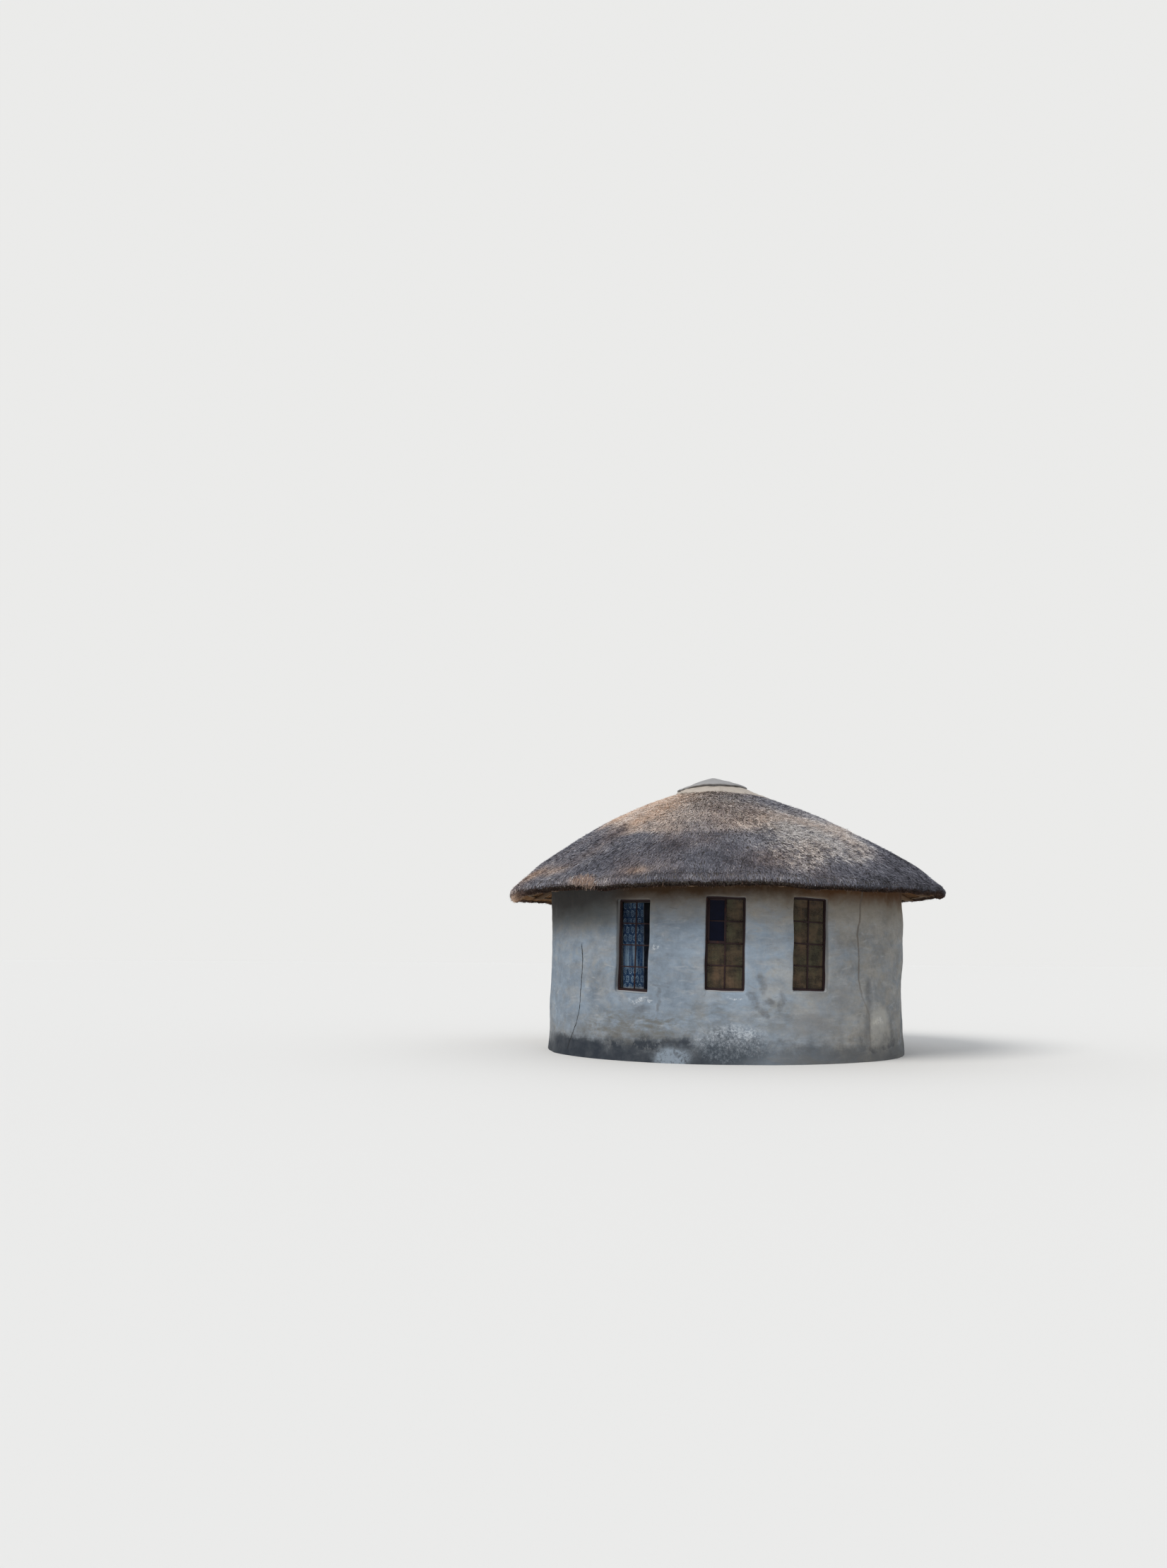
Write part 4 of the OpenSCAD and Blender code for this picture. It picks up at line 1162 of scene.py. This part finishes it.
def glazing_bars(opening, sash):
    """Steel bars in front of the glass: one upright and three across, for two columns of four panes. Where
    sash is set, the two upper left panes open, and a heavier bar goes round them."""
    shape = Shape()
    light, face = WINDOW_W / 2 - FRAME_W, GLASS_FRONT + 0.006
    low, high = opening.foot + FRAME_W, opening.head - FRAME_W
    level = low + (high - low) * np.array([0.25, 0.5, 0.75])

    def line(x0, z0, x1, z1, width, depth, stand=0.0):
        """A bar between two places of the window's face, standing out from it by a little."""
        shape.strut(opening, [(x0, -face - stand, z0), (x1, -face - stand, z1)], (width, depth))

    line(0, low - 0.004, 0, high + 0.004, 0.020, 0.012)
    for z in level:
        line(-light - 0.004, z, light + 0.004, z, 0.017, 0.011, 0.0008)
    if sash:
        x0, x1, z0, z1 = -light + 0.008, -0.004, level[1] + 0.012, high - 0.006
        for ends in ((x0, z0, x0, z1), (x1, z0, x1, z1), (x0, z1, x1, z1)):
            line(*ends, 0.024, 0.016, 0.007)
        line(x0 - 0.01, z0, x1 + 0.01, z0, 0.036, 0.018, 0.008)
        for z in (z0 + 0.08, z1 - 0.08):
            line(x0 - 0.014, z - 0.022, x0 - 0.014, z + 0.022, 0.011, 0.011, 0.016)
    return shape


def putty_beads(opening):
    """Putty along the glass's four edges, as thin bars in the frame's rebate."""
    shape = Shape()
    x, y = WINDOW_W / 2 - FRAME_W + 0.002, -GLASS_FRONT - 0.003
    low, high = opening.foot + FRAME_W - 0.002, opening.head - FRAME_W + 0.002
    corners = [(-x, y, low), (x, y, low), (x, y, high), (-x, y, high)]
    for ends in zip(corners, corners[1:] + corners[:1]):
        shape.strut(opening, ends, (0.010, 0.005, 0.0015))
    return shape


def hung_curtain():
    """The curtain and its flat size. Its plan is a row of soft folds that grow deeper towards the hem, and it
    is gathered on the rail. The map's first number runs across the cloth and the second up it."""
    window = WINDOWS["left"]
    rail_y, top, hem = -2.482, window.head - 0.0465, window.foot + 0.022
    start = math.tan(window.lean) * (HEAD_Z - 0.040 - MID_Z) - WINDOW_W / 2 + 0.002
    u, v = np.linspace(0, 1, 140)[None, :], np.linspace(0, 1, 60)[:, None]
    turn = 2 * np.pi * CURTAIN_FOLDS * (u + 0.012 * np.sin(9 * u + 3 * v))
    deep = 0.0105 - 0.003 * v + 0.001 * np.sin(5 * u + 2)
    x = start + CURTAIN_SHARE * WINDOW_W * u + 0.003 * np.sin(turn * 0.5) * (1 - v)
    y = rail_y - deep * np.sin(turn) * (0.85 + 0.15 * np.cos(3.1 * v + 4 * u))
    z = hem + (top - hem) * v + 0.004 * np.sin(turn * 0.5 + 1) * (1 - v)
    points = at_opening(np.stack(np.broadcast_arrays(x, y, z), -1), window._replace(lean=0.0))
    marks = 0.02 + 0.96 * np.stack(np.broadcast_arrays(u, v), -1)
    arc = np.linalg.norm(np.diff(points, axis=1), axis=-1).sum(1).mean()
    return Shape().grid(points, marks=marks), (float(arc), top - hem)


def threshold_top():
    """The threshold between the jambs: its section is carried across the doorway, with a hollow worn in the
    middle."""
    r, z = columns(THRESHOLD)
    half = DOOR_W / 2 + 0.002
    x, y, z = np.broadcast_arrays(np.linspace(-half, half, 60)[None, :], -r, z)
    worn = 0.0035 * hump(x, 0, 0.25) + 0.0008 * drift(np.stack([x, y, 0 * y], -1), 0.12, 82)
    return Shape().grid(at_opening(np.stack([x, y, z - worn * (z > 0.14)], -1), DOOR), flip=True)


def door_boards():
    """Upright boards with rounded edges and a hair's gap between them, each a little off its neighbours'
    plane, on three ledges and two braces."""
    shape = Shape()
    draw = np.random.default_rng(81)
    wide, half = LEAF_W / BOARDS, LEAF_W / 2
    for i in range(BOARDS):
        x, y = wide * (i + 0.5) - half, BOARD_T / 2 - LEAF_FACE - draw.uniform(-0.0015, 0.0)
        ends = [(x, y, LEAF_FOOT + draw.uniform(0, 0.004)), (x, y, LEAF_FOOT + LEAF_H - 0.002)]
        shape.strut(DOOR, ends, (wide - 0.0025, BOARD_T - 0.001, 0.004))
    gap = (LEAF_H - 3 * LEDGE_W) / 3
    y = BOARD_T + 0.010 - LEAF_FACE
    ledges = [LEAF_FOOT + (gap + LEDGE_W) * (i + 0.5) for i in range(3)]
    for z in ledges:
        shape.strut(DOOR, [(0.030 - half, y, z), (half - 0.030, y, z)], (LEDGE_W, 0.020, 0.003))
    for z in ledges[:2]:
        ends = [(0.110 - half, y, z + 0.075), (half - 0.110, y, z + 0.065 + gap)]
        shape.strut(DOOR, ends, (0.088, 0.019, 0.003))
    return shape


def strap_hinges():
    """Two tapering straps with a knuckle at the jamb and round nail heads."""
    shape = Shape()
    jamb, y = -LEAF_W / 2, -LEAF_FACE - 0.003
    for z in (LEAF_FOOT + 0.24, LEAF_FOOT + LEAF_H - 0.26):
        for i, (near, far, wide) in enumerate(((0.0, 0.16, 0.044), (0.15, 0.32, 0.034), (0.31, 0.44, 0.026))):
            face = y - 0.0004 * i
            shape.strut(DOOR, [(jamb + near, face, z), (jamb + far, face, z)], (wide, 0.005, 0.0015))
        x, face = jamb - 0.006, y - 0.004
        shape.strut(DOOR, [(x, face, z - 0.045), (x, face, z + 0.045)], (0.016, 0.016, 0.006), (1, 0, 0))
        for x in (0.05, 0.12, 0.20, 0.28, 0.36):
            ends = [(jamb + x, y, z), (jamb + x, y - 0.0065, z)]
            shape.strut(DOOR, ends, (0.011, 0.011, 0.004), (0, 0, 1))
    return shape


# Putting it together

plaster = weathered_plaster()
straw = loose_straw()
steel = rusty_paint("window_steel", (0.019, 0.0095, 0.0105), (0.070, 0.028, 0.018), 0.58)
putty = rusty_paint("window_putty", (0.020, 0.014, 0.013), (0.06, 0.045, 0.033), 0.62)
iron = rusty_paint("door_iron", (0.045, 0.042, 0.040), (0.120, 0.060, 0.032), 0.55)
pole = pole_wood("rafter_pole_wood", (0.29, 0.20, 0.125), (0.12, 0.075, 0.045))
lath = pole_wood("lath_wood", (0.36, 0.25, 0.15), (0.15, 0.095, 0.055))
plank = plank_wood()

WALL_NODES = [
    "wall_front_left_pier", "wall_front_right_pier", "wall_right_front", "wall_right_middle",
    "wall_right_rear", "wall_back_right", "wall_back_left", "wall_left_rear", "wall_left_back",
    "wall_left_middle", "wall_left_front", "wall_bay_left", "wall_bay_centre", "wall_bay_right",
    "wall_bay_side", "wall_bay_back", "wall_over_door",
]
outside = plaster_face(outer_face, WALL_R, step=0.030, foot=0.0, top=OUTER_TOP, margin=0.055, outside=True)
skin = piece("plaster_outside", outside, plaster, weld=WELD)
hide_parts(*WALL_NODES)
inside = plaster_face(inner_face, INNER_R, 0.080, foot=INNER_FOOT, top=INNER_TOP, margin=0.045, outside=False)
piece("plaster_inside", inside, limed_plaster(), weld=WELD)

bed = piece("thatch_bed", thatch_bed(), thatch_depth_shade())
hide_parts("thatch")
piece("thatch_ceiling", thatch_ceiling(), thatch_underside())
for i, name in enumerate(("back_left", "front_left", "front_right", "back_right")):
    first = -math.pi + i * math.pi / 2
    straws = combed_straws(first, first + math.pi / 2, QUARTER_STRAWS, 90 + i)
    piece("straws_" + name, straws, straw, smooth=False)
piece("straws_eave", cut_straws(CUT_STRAWS, 95), straw, smooth=False)
piece("straws_hanging", hanging_straws(HANGING_STRAWS, 96), straw, smooth=False)

cap_cement = cement("cap_cement", (0.375, 0.373, 0.376), (0.24, 0.234, 0.236), (0.20, 0.182, 0.168))
cap = piece("cap_shell", cap_shell(), cap_cement, weld=WELD)
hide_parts("ridge_cap")
skirt_mortar = cement("skirt_mortar", (0.52, 0.465, 0.41), (0.35, 0.315, 0.275), (0.26, 0.22, 0.175))
skirt = piece("skirt_shell", skirt_shell(), skirt_mortar, weld=WELD)
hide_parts("ridge_skirt")

for name, opening in WINDOWS.items():
    bars = glazing_bars(opening, sash=name == "centre")
    piece("window_bars_" + name, bars, steel, weld=FINE_WELD)
    piece("window_putty_" + name, putty_beads(opening), putty, weld=FINE_WELD)

cloth_shape, flat = hung_curtain()
cloth = piece("curtain_cloth", cloth_shape, lace_cloth())
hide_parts("lace_curtain")

threshold = piece("threshold_top", threshold_top(), plaster)
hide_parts("door_threshold")
leaf = piece("door_boards", door_boards(), plank, weld=FINE_WELD)
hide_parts("door_leaf")
piece("door_hinges", strap_hinges(), iron, weld=FINE_WELD)

glass = old_glass("old_glass")
NODE_FINISHES = {
    "floor_slab": swept_cement(),
    "door_frame": plank,
    "door_handle": iron,
    "curtain_rail": rusty_paint("dull_rail", (0.16, 0.155, 0.15), (0.09, 0.06, 0.04), 0.66),
    "laths": lath,
    "window_glass_left": dusty_glass("curtain_glass", (0.010, 0.014, 0.024), 0.46),
    "window_glass_centre": old_glass("half_cleaned_glass", clean="centre"),
}
for name in ("wall_plate", "main_rafters", "short_rafters", "rafter_hoop", "roof_hub"):
    NODE_FINISHES[name] = pole
for name in WINDOWS:
    NODE_FINISHES["window_frame_" + name] = steel
    NODE_FINISHES.setdefault("window_glass_" + name, glass)
for name, finish in NODE_FINISHES.items():
    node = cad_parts[name]
    node.data.materials.clear()
    node.data.materials.append(finish)


# Floor, light and camera

STUDIO_HALF = 400
STUDIO_Z = -0.0005
SUN_TILT = math.radians(48)
SUN_TURN = math.radians(-38)
CAMERA_PLACE = (0, -18.337, 1.348)
CAMERA_YAW = math.radians(-6.807)
CAMERA_PITCH = math.radians(8.528)
CAMERA_ROLL = math.radians(0.367)


def pale_floor():
    """A pale floor, which takes the hut's shadow."""
    f = Finish("pale_floor", roughness=0.9, specular=0.1)
    f.colour = (0.80, 0.795, 0.78)
    return f.finished()


def pale_sky():
    """An even sky: pale where the camera sees it straight, mirrored or through glass, and softer as light."""
    world = bpy.data.worlds.new("pale_sky")
    sky = Nodes(world)
    path = sky.node("LightPath").outputs
    larger = {"operation": "MAXIMUM"}
    glossy = sky.node("Math", larger, {0: path["Is Glossy Ray"], 1: path["Is Transmission Ray"]})
    seen = sky.node("Math", larger, {0: path["Is Camera Ray"], 1: glossy.outputs[0]})
    shown = sky.node("Background", {}, {0: (0.83, 0.83, 0.82)})
    light = sky.node("Background", {}, {0: (0.93, 0.96, 1.0), 1: 0.68})
    mix = sky.node("MixShader", {}, {0: seen.outputs[0], 1: light.outputs[0], 2: shown.outputs[0]})
    sky.node("OutputWorld", {}, {0: mix.outputs[0]})
    bpy.context.scene.world = world


def stand(name, data, turn, location=(0, 0, 0)):
    """Puts a light or a camera into the scene."""
    body = bpy.data.objects.new(name, data)
    body.location = location
    body.rotation_euler = turn
    bpy.context.scene.collection.objects.link(body)
    return body


span = np.linspace(-STUDIO_HALF, STUDIO_HALF, 2)
floor_shape = Shape().grid(np.dstack([*np.meshgrid(span, span), np.full((2, 2), STUDIO_Z)]))
ground = piece("studio_floor", floor_shape, pale_floor())
pale_sky()

sun = bpy.data.lights.new("soft_sun", "SUN")
sun.energy = 1.9
sun.angle = math.radians(28)
sun.color = (1.0, 0.97, 0.93)
stand("soft_sun", sun, (SUN_TILT, 0, SUN_TURN))

camera = bpy.data.cameras.new("camera")
camera.sensor_width = 36
camera.lens = 26.82
camera.clip_end = STUDIO_HALF
camera_body = stand("camera", camera, (math.pi / 2 + CAMERA_PITCH, 0, -CAMERA_YAW), CAMERA_PLACE)
camera_body.rotation_euler.rotate_axis("Z", CAMERA_ROLL)
bpy.context.scene.camera = camera_body
bpy.context.scene.view_settings.view_transform = "Standard"
